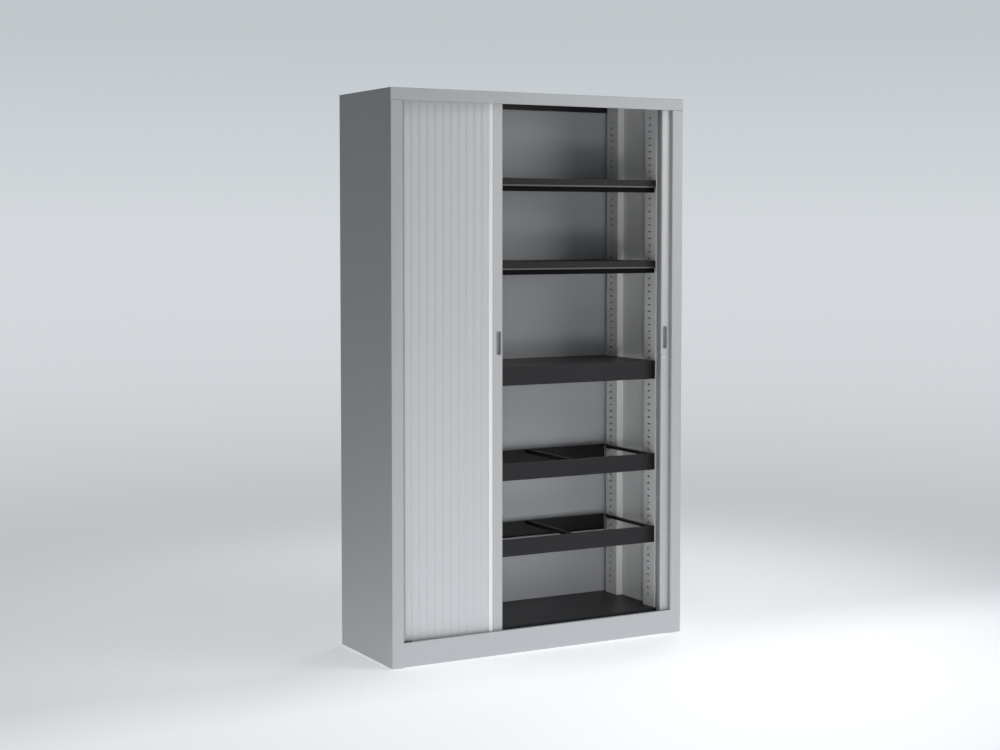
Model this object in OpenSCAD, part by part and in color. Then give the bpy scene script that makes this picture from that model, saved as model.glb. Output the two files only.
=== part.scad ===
// Tall office cabinet with two sideways-running tambour shutters.
// Lengths are millimetres. X runs to the right, Y to the back, Z up.
// The origin is the middle of the base, level with the surface that the cabinet stands on.

/* [Cabinet] */
// Overall width
cabinet_w = 1200; // [1000:10:1400]
// Overall depth
cabinet_d = 430; // [400:5:600]
// Overall height
cabinet_h = 2000; // [1800:10:2200]
// Thickness of the carcass sheet
sheet_t = 1.2; // [0.8:0.1:1.8]
// Thickness of the back sheet
back_t = 0.8; // [0.6:0.1:1.5]

/* [Front frame] */
// Width of the folded front edge of a side panel
stile_w = 45; // [40:1:60]
// Depth of the fold behind the stiles, the top rail and the plinth
fold_d = 12; // [10:1:20]
// Height of the top rail
top_rail_h = 42; // [38:1:60]
// Height of the plinth's top edge above the floor
plinth_h = 90; // [70:1:120]
// Width of the flanges turned in round the base and the back
flange_w = 30; // [26:1:40]

/* [Base glides] */
// Height of a glide
glide_h = 3; // [2:0.5:8]
// Diameter of a glide
glide_d = 24; // [16:1:24]
// Distance of a glide's centre from the front and from the back
glide_inset = 45; // [40:1:100]

/* [Curtain] */
// Number of slats in each shutter
slat_count = 12; // [9:1:13]
// Thickness of a slat
slat_t = 2.2; // [1.5:0.1:3]
// Clear space between neighbouring slats
slat_gap = 0.3; // [0.2:0.1:0.6]
// Lap of a slat behind its neighbour when the shutter is closed
slat_lap = 4; // [2:0.5:8]
// Lap of the first slat behind its leading rail when the shutter is closed
rail_lap = 8; // [4:0.5:12]
// Lap of the last slat behind the stile when the shutter is closed
stile_lap = 10; // [5:1:20]
// Width of the sloped border on a slat's face
slat_bevel_w = 4; // [2:0.5:8]
// Depth of the sloped border on a slat's face
slat_bevel_d = 0.6; // [0.2:0.1:1]
// Space between an open slat and the fold beside it
side_gap = 3.2; // [2:0.1:6]
// Share of the left shutter's travel that is open
left_open_share = 0.3; // [0:0.01:1]
// Share of the right shutter's travel that is open
right_open_share = 1; // [0:0.01:1]

/* [Tracks] */
// Wall thickness of the tracks
track_t = 1.6; // [1.2:0.1:3]
// Depth of the bottom track's floor below the plinth's top edge
track_sink = 14; // [10:1:20]
// Height of the walls of the bottom track
bottom_track_h = 13; // [8:1:14]
// Height of the walls of the top track
top_track_h = 34; // [20:1:36]
// Clearance of the curtain in its tracks
run_gap = 0.4; // [0.3:0.1:1]
// Free height above the curtain in the top track
lift_gap = 6; // [3:0.5:12]

/* [Leading rails] */
// Width of a leading rail
rail_w = 50; // [46:1:70]
// Thickness of a leading rail's face
rail_face_t = 2; // [1.5:0.1:3]
// Wall thickness of a leading rail's box
rail_wall_t = 1.6; // [1.2:0.1:2.5]
// Width of a leading rail's box
rail_box_w = 28; // [28:0.5:40]
// Depth of a leading rail's box behind its front face
rail_box_d = 26; // [26:1:34]
// Clear space between the box and the first slat when open
box_gap = 1.2; // [0.6:0.1:3]
// Width of the bead along the trailing edge
bead_w = 5; // [2:0.5:5]
// Height of the bead above the face
bead_h = 2; // [1:0.1:3]
// Space between the two rails when both shutters are closed
meeting_gap = 1; // [0.6:0.1:3]
// Height of a rail's shoes
shoe_h = 24; // [14:1:40]
// Clearance of a shoe in its rail
shoe_gap = 0.2; // [0.1:0.05:0.4]

/* [Handles] */
// Width of a handle cup
handle_w = 17; // [14:0.5:17]
// Height of a handle cup
handle_h = 83; // [70:1:110]
// Depth of a handle cup
handle_d = 14; // [8:0.5:14]
// Wall thickness of a handle cup
handle_t = 1.2; // [0.8:0.1:2]
// Width of the rim round a handle cup
handle_rim = 1; // [0.6:0.1:2]
// Distance of a handle cup from the leading edge
handle_inset = 8.5; // [7:0.5:9]
// Height of a handle's middle
handle_z = 1116; // [1000:1:1250]

/* [Lock] */
// Height of the lock's axis
lock_z = 1043; // [900:1:1050]
// Distance of the lock's axis from the leading edge
lock_inset = 12; // [11.5:0.5:14]
// Diameter of the lock's rim
lock_rim_d = 20; // [18:0.5:22]
// Diameter of the lock's housing
lock_housing_d = 17; // [15:0.5:17]
// Diameter of the lock's cylinder
lock_cylinder_d = 12; // [10:0.5:13]
// Running clearance round the cylinder
lock_gap = 0.05; // [0.02:0.01:0.1]
// Thickness of the locking hook
hook_t = 3; // [2:0.1:3.5]
// Height of the locking hook's arm
hook_arm_h = 8; // [6:0.5:9]
// Reach of the locking hook past the meeting line
hook_reach = 13; // [11:0.5:14]
// Drop of the hook's tooth below its arm
tooth_drop = 6; // [4:0.5:6]
// Diameter of the cylinder's pin that carries the hook
hook_pin_d = 8; // [6:0.5:9]
// Thickness of the strike plate
strike_t = 2; // [1.5:0.1:3]
// Height of the strike plate
strike_h = 30; // [20:1:40]
// Width of the key slot
key_w = 1.6; // [1.2:0.1:2.5]
// Height of the key slot
key_h = 8; // [6:0.5:9]
// Depth of the key slot
key_d = 4; // [2:0.5:8]

/* [Uprights] */
// Distance of an upright's slotted face from the cabinet's side
upright_inset = 75; // [68:1:90]
// Width of an upright's slotted face
upright_w = 80; // [60:1:100]
// Depth of an upright behind its slotted face
upright_channel_d = 26; // [18:1:30]
// Thickness of an upright
upright_t = 1.5; // [1:0.1:2.5]
// Space between the curtain's track and the front uprights
upright_gap = 8; // [4:1:20]
// Space between the back and the rear uprights
upright_back_gap = 20; // [10:1:40]
// Height of the lowest slot above the floor panel
slot_start = 44; // [30:1:60]
// Spacing of the slots
slot_pitch = 25; // [20:1:40]
// Length of a slot
slot_l = 16; // [12:1:24]
// Height of a slot
slot_h = 5; // [4:0.5:8]
// Distance of the slots from an upright's front edge
slot_inset = 45; // [30:1:50]
// Thickness of the liner behind the uprights
liner_t = 1; // [0.7:0.1:1.5]

/* [Shelves] */
// Thickness of the shelf sheet
shelf_t = 1; // [0.8:0.1:1.5]
// Height of a shelf's top above its slots
shelf_rise = 17; // [14:1:22]
// Height of the folded ends of a shelf
shelf_end_h = 15; // [12:1:16]
// Space between a shelf and an upright
shelf_gap = 2; // [1:0.5:4]
// Distance of a shelf's front behind the uprights' front
shelf_setback = 1; // [0:0.5:10]
// Space between a shelf and the back
shelf_back_gap = 10; // [5:1:30]
// Height of the upper band on a plain shelf's front
band_h = 28; // [12:1:34]
// Step back under the upper band
band_step = 8; // [4:1:14]
// Height of a plain shelf's front
shelf_front_h = 46; // [38:1:60]
// Height of the lower shelf's deep front
deep_front_h = 68; // [45:1:90]
// Width of the lips turned back from the fronts
lip_w = 14; // [8:1:20]
// Slots between the top of the uprights and the upper shelf
upper_shelf_drop = 10; // [6:1:14]
// Slots between the upper shelf and the middle shelf
middle_shelf_drop = 12; // [6:1:13]
// Slot that carries the lower shelf
lower_shelf_slot = 35; // [28:1:40]
// Slot that carries the upper filing frame
upper_frame_slot = 21; // [16:1:26]
// Slot that carries the lower filing frame
lower_frame_slot = 10; // [6:1:14]

/* [Filing frames] */
// Height of a filing frame's front and back bars
frame_bar_h = 61; // [40:1:80]
// Width of the angle along a frame's ends
frame_end_w = 18; // [10:1:30]
// Width of a frame's cross bars
cross_bar_w = 12; // [8:1:20]
// Height of a frame's cross bars
cross_bar_h = 15; // [10:1:25]
// Wall thickness of a cross bar
cross_bar_t = 1.5; // [1:0.1:2.5]
// Bays in each filing frame
frame_bays = 3; // [2:1:4]

/* [File rails] */
// Drop of the file rails below the cabinet's top
file_rail_drop = 30; // [24:1:80]
// Distance between the front and the back file rail
file_rail_span = 330; // [300:1:340]

/* [Fastenings] */
// Thickness of a shelf support
support_t = 4; // [3:0.5:4.5]
// Width of a shelf support
support_w = 14; // [10:1:15]
// Length of a shelf support under the shelf
support_reach = 14; // [10:1:25]
// Drop of a support's catch behind the upright
support_catch_h = 10; // [6:1:14]
// Rivets down each side of the back
rivet_count = 6; // [4:1:10]
// Diameter of a rivet's shank
rivet_d = 4; // [3:0.5:6]
// Diameter of a rivet's head
rivet_head_d = 8; // [6:0.5:12]
// Height of a rivet's head
rivet_head_h = 1.6; // [1:0.1:3]
// Clearance round a rivet's shank
rivet_gap = 0.1; // [0.05:0.05:0.3]

/* [Hidden] */
$fn = 48;

carcass_grey = "#b3b6b9";
slat_grey = "#c6c9cb";
rail_grey = "#bec1c4";
shelf_black = "#2b2c30";
track_black = "#242529";
handle_grey = "#55575d";
bright_steel = "#c9cbcd";

// Height of the top sheet's underside
top_under = cabinet_h - sheet_t;
// Depth of the back sheet's inner and outer faces
back_out = cabinet_d - sheet_t;
back_in = back_out - back_t;

// Slats: spacing, width and slope that let them slide past each other without touching
closed_at = cabinet_w / 2 - meeting_gap / 2;
first_slat_edge = closed_at - rail_w + rail_lap;
last_slat_edge = stile_w - stile_lap;
slat_pitch = (first_slat_edge - last_slat_edge - slat_lap) / slat_count;
slat_w = slat_pitch + slat_lap;
slat_step = slat_t + slat_gap;
slat_slope = asin(slat_step / slat_pitch);
slat_layer = slat_step / cos(slat_slope);
slat_half_d = slat_w / 2 * sin(slat_slope) + slat_t / 2 * cos(slat_slope);
stack_u = 2 * sheet_t + side_gap + slat_w / 2;

// Travel of a leading edge, and where both stand
open_at = 2 * sheet_t + side_gap + slat_w + box_gap + rail_box_w;
travel = closed_at - open_at;
left_edge = closed_at - left_open_share * travel;
right_edge = closed_at - right_open_share * travel;

// Depths behind the cabinet's front, from the stile's fold to the uprights
track_front = fold_d;
rail_front = track_front + track_t + run_gap + bead_h;
slat_front = rail_front + rail_face_t + run_gap;
first_slat_v = slat_front + slat_half_d;
stack_back = first_slat_v + (slat_count - 1) * slat_layer + slat_half_d;
box_back = rail_front + rail_box_d;
track_back = max(stack_back, box_back) + run_gap + track_t;
floor_front = track_back + sheet_t;
upright_front = floor_front + upright_gap;
rear_upright_front = back_in - upright_back_gap - upright_w;

// Heights of the curtain and of the rails
track_floor = plinth_h - track_sink;
top_track_floor = top_under - track_t;
curtain_bottom = track_floor + run_gap;
curtain_top = top_track_floor - lift_gap;
rail_bottom = track_floor + 2 * run_gap;

// Lengths of a leading rail's box, and the strips of its face beside the handle's window
window_low = handle_z - handle_h / 2 - shoe_gap;
window_high = handle_z + handle_h / 2 + shoe_gap;
lower_length = [rail_bottom, window_low];
grip_length = [window_low, window_high];
upper_length = [window_high, curtain_top];
whole_face = [[0, rail_box_w]];
grip_face = [[0, handle_inset - shoe_gap], [handle_inset + handle_w + shoe_gap, rail_box_w]];

// Lock: depths of the hook and heights of the slot that it swings through
housing_back = rail_front + rail_box_d - rail_wall_t - run_gap - 2 * hook_t;
hook_front = housing_back + run_gap;
hook_back = hook_front + hook_t;
hook_l = lock_inset + meeting_gap + hook_reach;
tooth_l = hook_reach / 2;
hook_low = hook_arm_h / 2 + tooth_drop;
hook_swing = sqrt(hook_l * hook_l + hook_low * hook_low);

// Uprights, liners and shelves
upright_h = top_under - plinth_h;
liner_u = upright_inset - upright_channel_d - liner_t;
slot_count = floor((upright_h - 2 * slot_start) / slot_pitch) + 1;
shelf_u = upright_inset + shelf_gap;
shelf_front = upright_front + shelf_setback;
shelf_back = back_in - shelf_back_gap;
upper_shelf_slot = slot_count - 1 - upper_shelf_drop;
middle_shelf_slot = upper_shelf_slot - middle_shelf_drop;
carried_slots = [upper_shelf_slot, middle_shelf_slot, lower_shelf_slot, upper_frame_slot, lower_frame_slot];
upright_fronts = [upright_front, rear_upright_front];

function slot_z(n) = plinth_h + slot_start + n * slot_pitch;
function shelf_top(n) = slot_z(n) + shelf_rise;
function rivet_z(n) = plinth_h + (top_under - top_rail_h - plinth_h) * (n + 0.5) / rivet_count;

// A box between two distances from the left side, two depths behind the front and two heights
module slab(u, v, z) {
    translate([u[0] - cabinet_w / 2, v[0] - cabinet_d / 2, z[0]])
        cube([u[1] - u[0], v[1] - v[0], z[1] - z[0]]);
}

// What is drawn for the left side, mirrored to the right
module right_hand() {
    mirror([1, 0, 0]) children();
}

// Side panel with its stile, fold, rear flange and base flange
module side_panel() {
    difference() {
        union() {
            slab([0, sheet_t], [0, cabinet_d], [glide_h, cabinet_h]);
            slab([0, stile_w], [0, sheet_t], [glide_h, cabinet_h - top_rail_h]);
            slab([stile_w - sheet_t, stile_w], [0, fold_d], [glide_h, cabinet_h - top_rail_h]);
            slab([0, sheet_t + flange_w], [back_out, cabinet_d], [glide_h, top_under]);
            slab([0, sheet_t + flange_w], [0, back_in], [glide_h, glide_h + sheet_t]);
        }
        rivet_row(rivet_d + 2 * rivet_gap);
    }
}

// Shanks of the rivets down one side, from the back sheet's inner face to the rear
module rivet_row(d) {
    for (n = [0 : rivet_count - 1])
        translate([sheet_t + flange_w / 2 - cabinet_w / 2, back_in - cabinet_d / 2, rivet_z(n)])
            rotate([-90, 0, 0])
                cylinder(d = d, h = back_t + sheet_t);
}

module left_side_panel() {
    color(carcass_grey) side_panel();
}

module right_side_panel() {
    color(carcass_grey) right_hand() side_panel();
}

// Top sheet with the top rail folded down in front and a turned-up hem behind it
module top_panel() {
    inner = [sheet_t, cabinet_w - sheet_t];
    rail_low = cabinet_h - top_rail_h;
    color(carcass_grey) {
        slab(inner, [0, cabinet_d], [top_under, cabinet_h]);
        slab(inner, [0, sheet_t], [rail_low, cabinet_h]);
        slab(inner, [0, fold_d], [rail_low, rail_low + sheet_t]);
        slab(inner, [fold_d - sheet_t, fold_d], [rail_low, rail_low + top_rail_h / 2]);
        slab([sheet_t, 2 * sheet_t], [0, back_in], [rail_low, cabinet_h]);
        slab([cabinet_w - 2 * sheet_t, cabinet_w - sheet_t], [0, back_in], [rail_low, cabinet_h]);
        slab(
            [2 * sheet_t + flange_w, cabinet_w - 2 * sheet_t - flange_w],
            [back_out, cabinet_d],
            [top_under - flange_w, cabinet_h]
        );
    }
}

// Plinth between the stiles, with a hem behind its top edge and a flange along the base
module plinth() {
    between = [stile_w, cabinet_w - stile_w];
    color(carcass_grey) {
        slab(between, [0, sheet_t], [glide_h, plinth_h]);
        slab(between, [0, fold_d], [plinth_h - sheet_t, plinth_h]);
        slab(between, [fold_d - sheet_t, fold_d], [track_floor - track_t - sheet_t, plinth_h]);
        slab(between, [0, sheet_t + flange_w], [glide_h, glide_h + sheet_t]);
    }
}

// Floor panel that steps down in front to carry the bottom track
module floor_panel() {
    inner = [sheet_t, cabinet_w - sheet_t];
    ledge = track_floor - track_t;
    color(shelf_black) {
        slab(inner, [track_back, back_in], [plinth_h - sheet_t, plinth_h]);
        slab(inner, [track_back, floor_front], [ledge - sheet_t, plinth_h]);
        slab(inner, [fold_d, floor_front], [ledge - sheet_t, ledge]);
    }
}

module back_panel() {
    color(carcass_grey) difference() {
        slab([sheet_t, cabinet_w - sheet_t], [back_in, back_out], [glide_h, top_under]);
        rivet_row(rivet_d + 2 * rivet_gap);
        right_hand() rivet_row(rivet_d + 2 * rivet_gap);
    }
}

module back_rivets_side() {
    rivet_row(rivet_d);
    for (n = [0 : rivet_count - 1])
        translate([
            sheet_t + flange_w / 2 - cabinet_w / 2,
            back_in - rivet_head_h - cabinet_d / 2,
            rivet_z(n)
        ])
            rotate([-90, 0, 0])
                cylinder(d = rivet_head_d, h = rivet_head_h);
}

module back_rivets() {
    color(bright_steel) {
        back_rivets_side();
        right_hand() back_rivets_side();
    }
}

module base_glides() {
    color(track_black)
        for (x = [-1, 1], v = [glide_inset, cabinet_d - glide_inset])
            translate([x * (cabinet_w / 2 - sheet_t - flange_w / 2), v - cabinet_d / 2, 0])
                cylinder(d = glide_d, h = glide_h);
}

// Slotted channel that carries the shelves, open towards the cabinet's side
module upright(front) {
    web = [upright_inset - upright_t, upright_inset];
    flange = [upright_inset - upright_channel_d, upright_inset];
    tall = [plinth_h, top_under];
    color(carcass_grey) {
        translate([web[0] - cabinet_w / 2, front - cabinet_d / 2, plinth_h])
            rotate([90, 0, 90])
                linear_extrude(upright_t)
                    difference() {
                        square([upright_w, upright_h]);
                        for (n = [0 : slot_count - 1])
                            translate([slot_inset - slot_l / 2, slot_z(n) - plinth_h - slot_h / 2])
                                square([slot_l, slot_h]);
                    }
        slab(flange, [front, front + upright_t], tall);
        slab(flange, [front + upright_w - upright_t, front + upright_w], tall);
    }
}

module front_uprights() {
    upright(upright_front);
    right_hand() upright(upright_front);
}

module rear_uprights() {
    upright(rear_upright_front);
    right_hand() upright(rear_upright_front);
}

// Sheet between the curtain's side pocket and the shelves
module liner() {
    color(carcass_grey) slab([liner_u, liner_u + liner_t], [floor_front, back_in], [plinth_h, top_under]);
}

module liners() {
    liner();
    right_hand() liner();
}

// Channel that guides the ends of the slats and of the rails
module track(floor_z, walls) {
    ends = [2 * sheet_t, cabinet_w - 2 * sheet_t];
    color(track_black) {
        slab(ends, [track_front, track_back], floor_z);
        slab(ends, [track_front, track_front + track_t], walls);
        slab(ends, [track_back - track_t, track_back], walls);
    }
}

module top_track() {
    track([top_track_floor, top_under], [top_under - top_track_h, top_under]);
}

module bottom_track() {
    track([track_floor - track_t, track_floor], [track_floor - track_t, track_floor + bottom_track_h]);
}

// Sheet of a shelf with its folded ends and back
module shelf_tray(top) {
    across = [shelf_u, cabinet_w - shelf_u];
    deep = [shelf_front, shelf_back];
    ends = [top - shelf_end_h, top];
    slab(across, deep, [top - shelf_t, top]);
    slab([shelf_u, shelf_u + shelf_t], deep, ends);
    slab([cabinet_w - shelf_u - shelf_t, cabinet_w - shelf_u], deep, ends);
    slab(across, [shelf_back - shelf_t, shelf_back], ends);
}

// Plain shelf: an upper band in front, and a rail stepped back under it
module plain_shelf(top) {
    across = [shelf_u, cabinet_w - shelf_u];
    step = shelf_front + band_step;
    low = top - shelf_front_h;
    color(shelf_black) {
        shelf_tray(top);
        slab(across, [shelf_front, shelf_front + shelf_t], [top - band_h, top]);
        slab(across, [shelf_front, step], [top - band_h, top - band_h + shelf_t]);
        slab(across, [step - shelf_t, step], [low, top - band_h + shelf_t]);
        slab(across, [step - shelf_t, step + lip_w], [low, low + shelf_t]);
    }
}

module upper_shelf() {
    plain_shelf(shelf_top(upper_shelf_slot));
}

module middle_shelf() {
    plain_shelf(shelf_top(middle_shelf_slot));
}

// Lower shelf with a deep front whose lip takes hanging files
module lower_shelf() {
    top = shelf_top(lower_shelf_slot);
    low = top - deep_front_h;
    across = [shelf_u, cabinet_w - shelf_u];
    color(shelf_black) {
        shelf_tray(top);
        slab(across, [shelf_front, shelf_front + shelf_t], [low, top]);
        slab(across, [shelf_front, shelf_front + lip_w], [low, low + shelf_t]);
    }
}

// Front bar of a filing frame with a lip at its top and at its bottom
module filing_bar(top, depths, lip) {
    across = [shelf_u, cabinet_w - shelf_u];
    slab(across, depths, [top - frame_bar_h, top]);
    slab(across, lip, [top - shelf_t, top]);
    slab(across, lip, [top - frame_bar_h, top - frame_bar_h + shelf_t]);
}

// Angle along one end of a filing frame
module filing_end(top) {
    slab([shelf_u, shelf_u + shelf_t], [shelf_front, shelf_back], [top - shelf_end_h, top]);
    slab([shelf_u, shelf_u + frame_end_w], [shelf_front, shelf_back], [top - shelf_t, top]);
}

// Open frame for hanging files
module filing_frame(top) {
    color(shelf_black) {
        filing_bar(top, [shelf_front, shelf_front + shelf_t], [shelf_front, shelf_front + lip_w]);
        filing_bar(top, [shelf_back - shelf_t, shelf_back], [shelf_back - lip_w, shelf_back]);
        filing_end(top);
        right_hand() filing_end(top);
    }
}

module upper_filing_frame() {
    filing_frame(shelf_top(upper_frame_slot));
}

module lower_filing_frame() {
    filing_frame(shelf_top(lower_frame_slot));
}

// Upside-down channels that divide the filing frames into bays
module cross_bars(top) {
    bay_w = (cabinet_w - 2 * shelf_u) / frame_bays;
    deep = [shelf_front + shelf_t, shelf_back - shelf_t];
    high = [top - shelf_t - cross_bar_h, top - shelf_t];
    for (n = [1 : frame_bays - 1]) {
        left = shelf_u + n * bay_w - cross_bar_w / 2;
        right = left + cross_bar_w;
        slab([left, right], deep, [high[1] - cross_bar_t, high[1]]);
        slab([left, left + cross_bar_t], deep, high);
        slab([right - cross_bar_t, right], deep, high);
    }
}

module frame_cross_bars() {
    color(shelf_black) {
        cross_bars(shelf_top(upper_frame_slot));
        cross_bars(shelf_top(lower_frame_slot));
    }
}

// Angles under the cabinet's top for hanging files
module file_rails() {
    across = [shelf_u, cabinet_w - shelf_u];
    low = cabinet_h - file_rail_drop;
    first = shelf_front + lip_w;
    second = first + file_rail_span;
    color(shelf_black) {
        slab(across, [first, first + sheet_t], [low, top_under]);
        slab(across, [first - lip_w, first], [low, low + sheet_t]);
        slab(across, [second, second + sheet_t], [low, top_under]);
        slab(across, [second, second + lip_w], [low, low + sheet_t]);
    }
}

// Steel tab that hooks through a slot and carries one corner of a shelf
module shelf_support(front, n) {
    high = shelf_top(n) - shelf_end_h;
    mid = front + slot_inset;
    wide = [mid - support_w / 2, mid + support_w / 2];
    behind = upright_inset - upright_t;
    catch_u = [behind - support_t, behind];
    slab([catch_u[0], upright_inset + support_reach], wide, [high - support_t, high]);
    slab(catch_u, wide, [high - support_t - support_catch_h, high]);
}

module shelf_supports() {
    color(bright_steel)
        for (front = upright_fronts, n = carried_slots) {
            shelf_support(front, n);
            right_hand() shelf_support(front, n);
        }
}

// A box fixed to a leading rail: distances back from the leading edge, depths and heights
module rail_slab(edge, e, v, z) {
    slab([edge - e[1], edge - e[0]], v, z);
}

// One length of a leading rail's hollow box, with the slot for the locking hook
module rail_box(edge, tall, face) {
    box_v = [rail_front, box_back];
    difference() {
        union() {
            for (strip = face)
                rail_slab(edge, strip, [rail_front, rail_front + rail_face_t], tall);
            rail_slab(edge, [0, rail_wall_t], box_v, tall);
            rail_slab(edge, [rail_box_w - rail_wall_t, rail_box_w], box_v, tall);
            rail_slab(edge, [0, rail_box_w], [box_back - rail_wall_t, box_back], tall);
        }
        rail_slab(
            edge,
            [0, rail_wall_t],
            [hook_front - run_gap, hook_back + run_gap],
            [lock_z - hook_low - run_gap, lock_z + hook_swing]
        );
    }
}

// Lengths of a leading rail's box below and above its handle
module rail_ends(edge) {
    rail_box(edge, lower_length, whole_face);
    rail_box(edge, upper_length, whole_face);
}

// Flange beside a leading rail's box, with the bead along its trailing edge
module rail_flange(edge) {
    tall = [rail_bottom, curtain_top];
    rail_slab(edge, [rail_box_w, rail_w], [rail_front, rail_front + rail_face_t], tall);
    rail_slab(edge, [rail_w - bead_w, rail_w], [rail_front - bead_h, rail_front + rail_face_t], tall);
}

// A round bar along the lock's axis between two depths
module lock_round(d, v) {
    translate([right_edge - lock_inset - cabinet_w / 2, v[0] - cabinet_d / 2, lock_z])
        rotate([-90, 0, 0])
            cylinder(d = d, h = v[1] - v[0]);
}

module left_rail_ends() {
    color(rail_grey) rail_ends(left_edge);
}

module left_rail_grip() {
    color(rail_grey) rail_box(left_edge, grip_length, grip_face);
}

module left_rail_flange() {
    color(rail_grey) rail_flange(left_edge);
}

// Ends of the right rail, with the hole for the lock
module right_rail_ends() {
    color(rail_grey) right_hand() difference() {
        rail_ends(right_edge);
        lock_round(lock_housing_d + 2 * shoe_gap, [rail_front, rail_front + rail_face_t]);
    }
}

module right_rail_grip() {
    color(rail_grey) right_hand() rail_box(right_edge, grip_length, grip_face);
}

module right_rail_flange() {
    color(rail_grey) right_hand() rail_flange(right_edge);
}

// Finger cup with a thin rim on the rail's face
module handle(edge) {
    wide = [handle_inset, handle_inset + handle_w];
    tall = [handle_z - handle_h / 2, handle_z + handle_h / 2];
    front = rail_front - handle_rim;
    color(handle_grey) difference() {
        union() {
            rail_slab(edge, wide, [front, rail_front + handle_d], tall);
            rail_slab(
                edge,
                [wide[0] - handle_rim, wide[1] + handle_rim],
                [front, rail_front],
                [tall[0] - handle_rim, tall[1] + handle_rim]
            );
        }
        rail_slab(
            edge,
            [wide[0] + handle_t, wide[1] - handle_t],
            [front, rail_front + handle_d - handle_t],
            [tall[0] + handle_t, tall[1] - handle_t]
        );
    }
}

module left_handle() {
    handle(left_edge);
}

module right_handle() {
    right_hand() handle(right_edge);
}

// Plastic shoes plugged into the ends of a rail's box, running in the tracks
module rail_shoes(edge) {
    margin = rail_wall_t + shoe_gap;
    wide = [margin, rail_box_w - margin];
    deep = [rail_front + rail_face_t + shoe_gap, box_back - margin];
    color(track_black) {
        rail_slab(edge, wide, deep, [curtain_bottom, curtain_bottom + shoe_h]);
        rail_slab(edge, wide, deep, [top_track_floor - run_gap - shoe_h, top_track_floor - run_gap]);
    }
}

module left_rail_shoes() {
    rail_shoes(left_edge);
}

module right_rail_shoes() {
    right_hand() rail_shoes(right_edge);
}

// Plate inside the left rail that the hook's tooth drops behind
module left_strike() {
    top = lock_z - hook_arm_h / 2 - run_gap;
    color(bright_steel)
        rail_slab(
            left_edge,
            [rail_wall_t, rail_wall_t + strike_t],
            [hook_front - 2 * run_gap, box_back - rail_wall_t],
            [top - strike_h, top]
        );
}

module lock_housing() {
    color(bright_steel) right_hand() difference() {
        union() {
            lock_round(lock_rim_d, [rail_front - handle_rim, rail_front]);
            lock_round(lock_housing_d, [rail_front, housing_back]);
        }
        lock_round(lock_cylinder_d + 2 * lock_gap, [rail_front - handle_rim, housing_back]);
    }
}

// Turning cylinder with a key slot in front and a pin for the hook behind
module lock_cylinder() {
    front = rail_front - handle_rim;
    color(bright_steel) right_hand() difference() {
        union() {
            lock_round(lock_cylinder_d, [front, hook_front]);
            lock_round(hook_pin_d, [hook_front, hook_back + hook_t / 2]);
        }
        rail_slab(
            right_edge,
            [lock_inset - key_w / 2, lock_inset + key_w / 2],
            [front, front + key_d],
            [lock_z - key_h / 2, lock_z + key_h / 2]
        );
    }
}

// Hook in its unlocked place: the arm points up and the tooth towards the leading edge
module lock_hook() {
    arm = hook_arm_h / 2;
    color(bright_steel) right_hand() difference() {
        union() {
            rail_slab(
                right_edge,
                [lock_inset - arm, lock_inset + arm],
                [hook_front, hook_back],
                [lock_z, lock_z + hook_l]
            );
            rail_slab(
                right_edge,
                [lock_inset - hook_low, lock_inset],
                [hook_front, hook_back],
                [lock_z + hook_l - tooth_l, lock_z + hook_l]
            );
            lock_round(lock_cylinder_d, [hook_front, hook_back]);
        }
        lock_round(hook_pin_d + 2 * lock_gap, [hook_front, hook_back]);
    }
}

// One slat of a shutter. It slides behind the slat that is nearer to the rail.
module slat(index, open_share) {
    closed_u = first_slat_edge - slat_w / 2 - index * slat_pitch;
    u = closed_u + open_share * (stack_u - closed_u);
    v = first_slat_v + open_share * index * slat_layer;
    half_w = slat_w / 2;
    half_t = slat_t / 2;
    color(slat_grey)
        translate([u - cabinet_w / 2, v - cabinet_d / 2, curtain_bottom])
            rotate([0, 0, slat_slope])
                linear_extrude(curtain_top - curtain_bottom)
                    polygon([
                        [-half_w, half_t],
                        [-half_w, slat_bevel_d - half_t],
                        [slat_bevel_w - half_w, -half_t],
                        [half_w - slat_bevel_w, -half_t],
                        [half_w, slat_bevel_d - half_t],
                        [half_w, half_t]
                    ]);
}

module left_slat(n) {
    slat(n - 1, left_open_share);
}

module right_slat(n) {
    right_hand() slat(n - 1, right_open_share);
}

left_side_panel();
right_side_panel();
top_panel();
plinth();
floor_panel();
back_panel();
front_uprights();
rear_uprights();
liners();
top_track();
bottom_track();
upper_shelf();
middle_shelf();
lower_shelf();
upper_filing_frame();
lower_filing_frame();
frame_cross_bars();
file_rails();
shelf_supports();
back_rivets();
base_glides();
left_rail_ends();
left_rail_grip();
left_rail_flange();
left_handle();
left_rail_shoes();
left_strike();
right_rail_ends();
right_rail_grip();
right_rail_flange();
right_handle();
right_rail_shoes();
lock_housing();
lock_cylinder();
lock_hook();
for (i = [1 : slat_count]) {
    left_slat(i);
    right_slat(i);
}
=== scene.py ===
# %% [markdown]
# # A tall tambour cabinet
# The object is a steel office cabinet whose two doors are curtains of upright slats. The slats run
# sideways in a track above and a track below. The CAD model already fixes where everything is and
# how it moves. This lesson dresses it: folded sheet metal with round bends, crowned slats, a satin
# rail with a finger cup, and paint that looks sprayed.

# %% Load the CAD frame
import math

import bmesh
import bpy
from mathutils import Matrix, Vector


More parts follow.
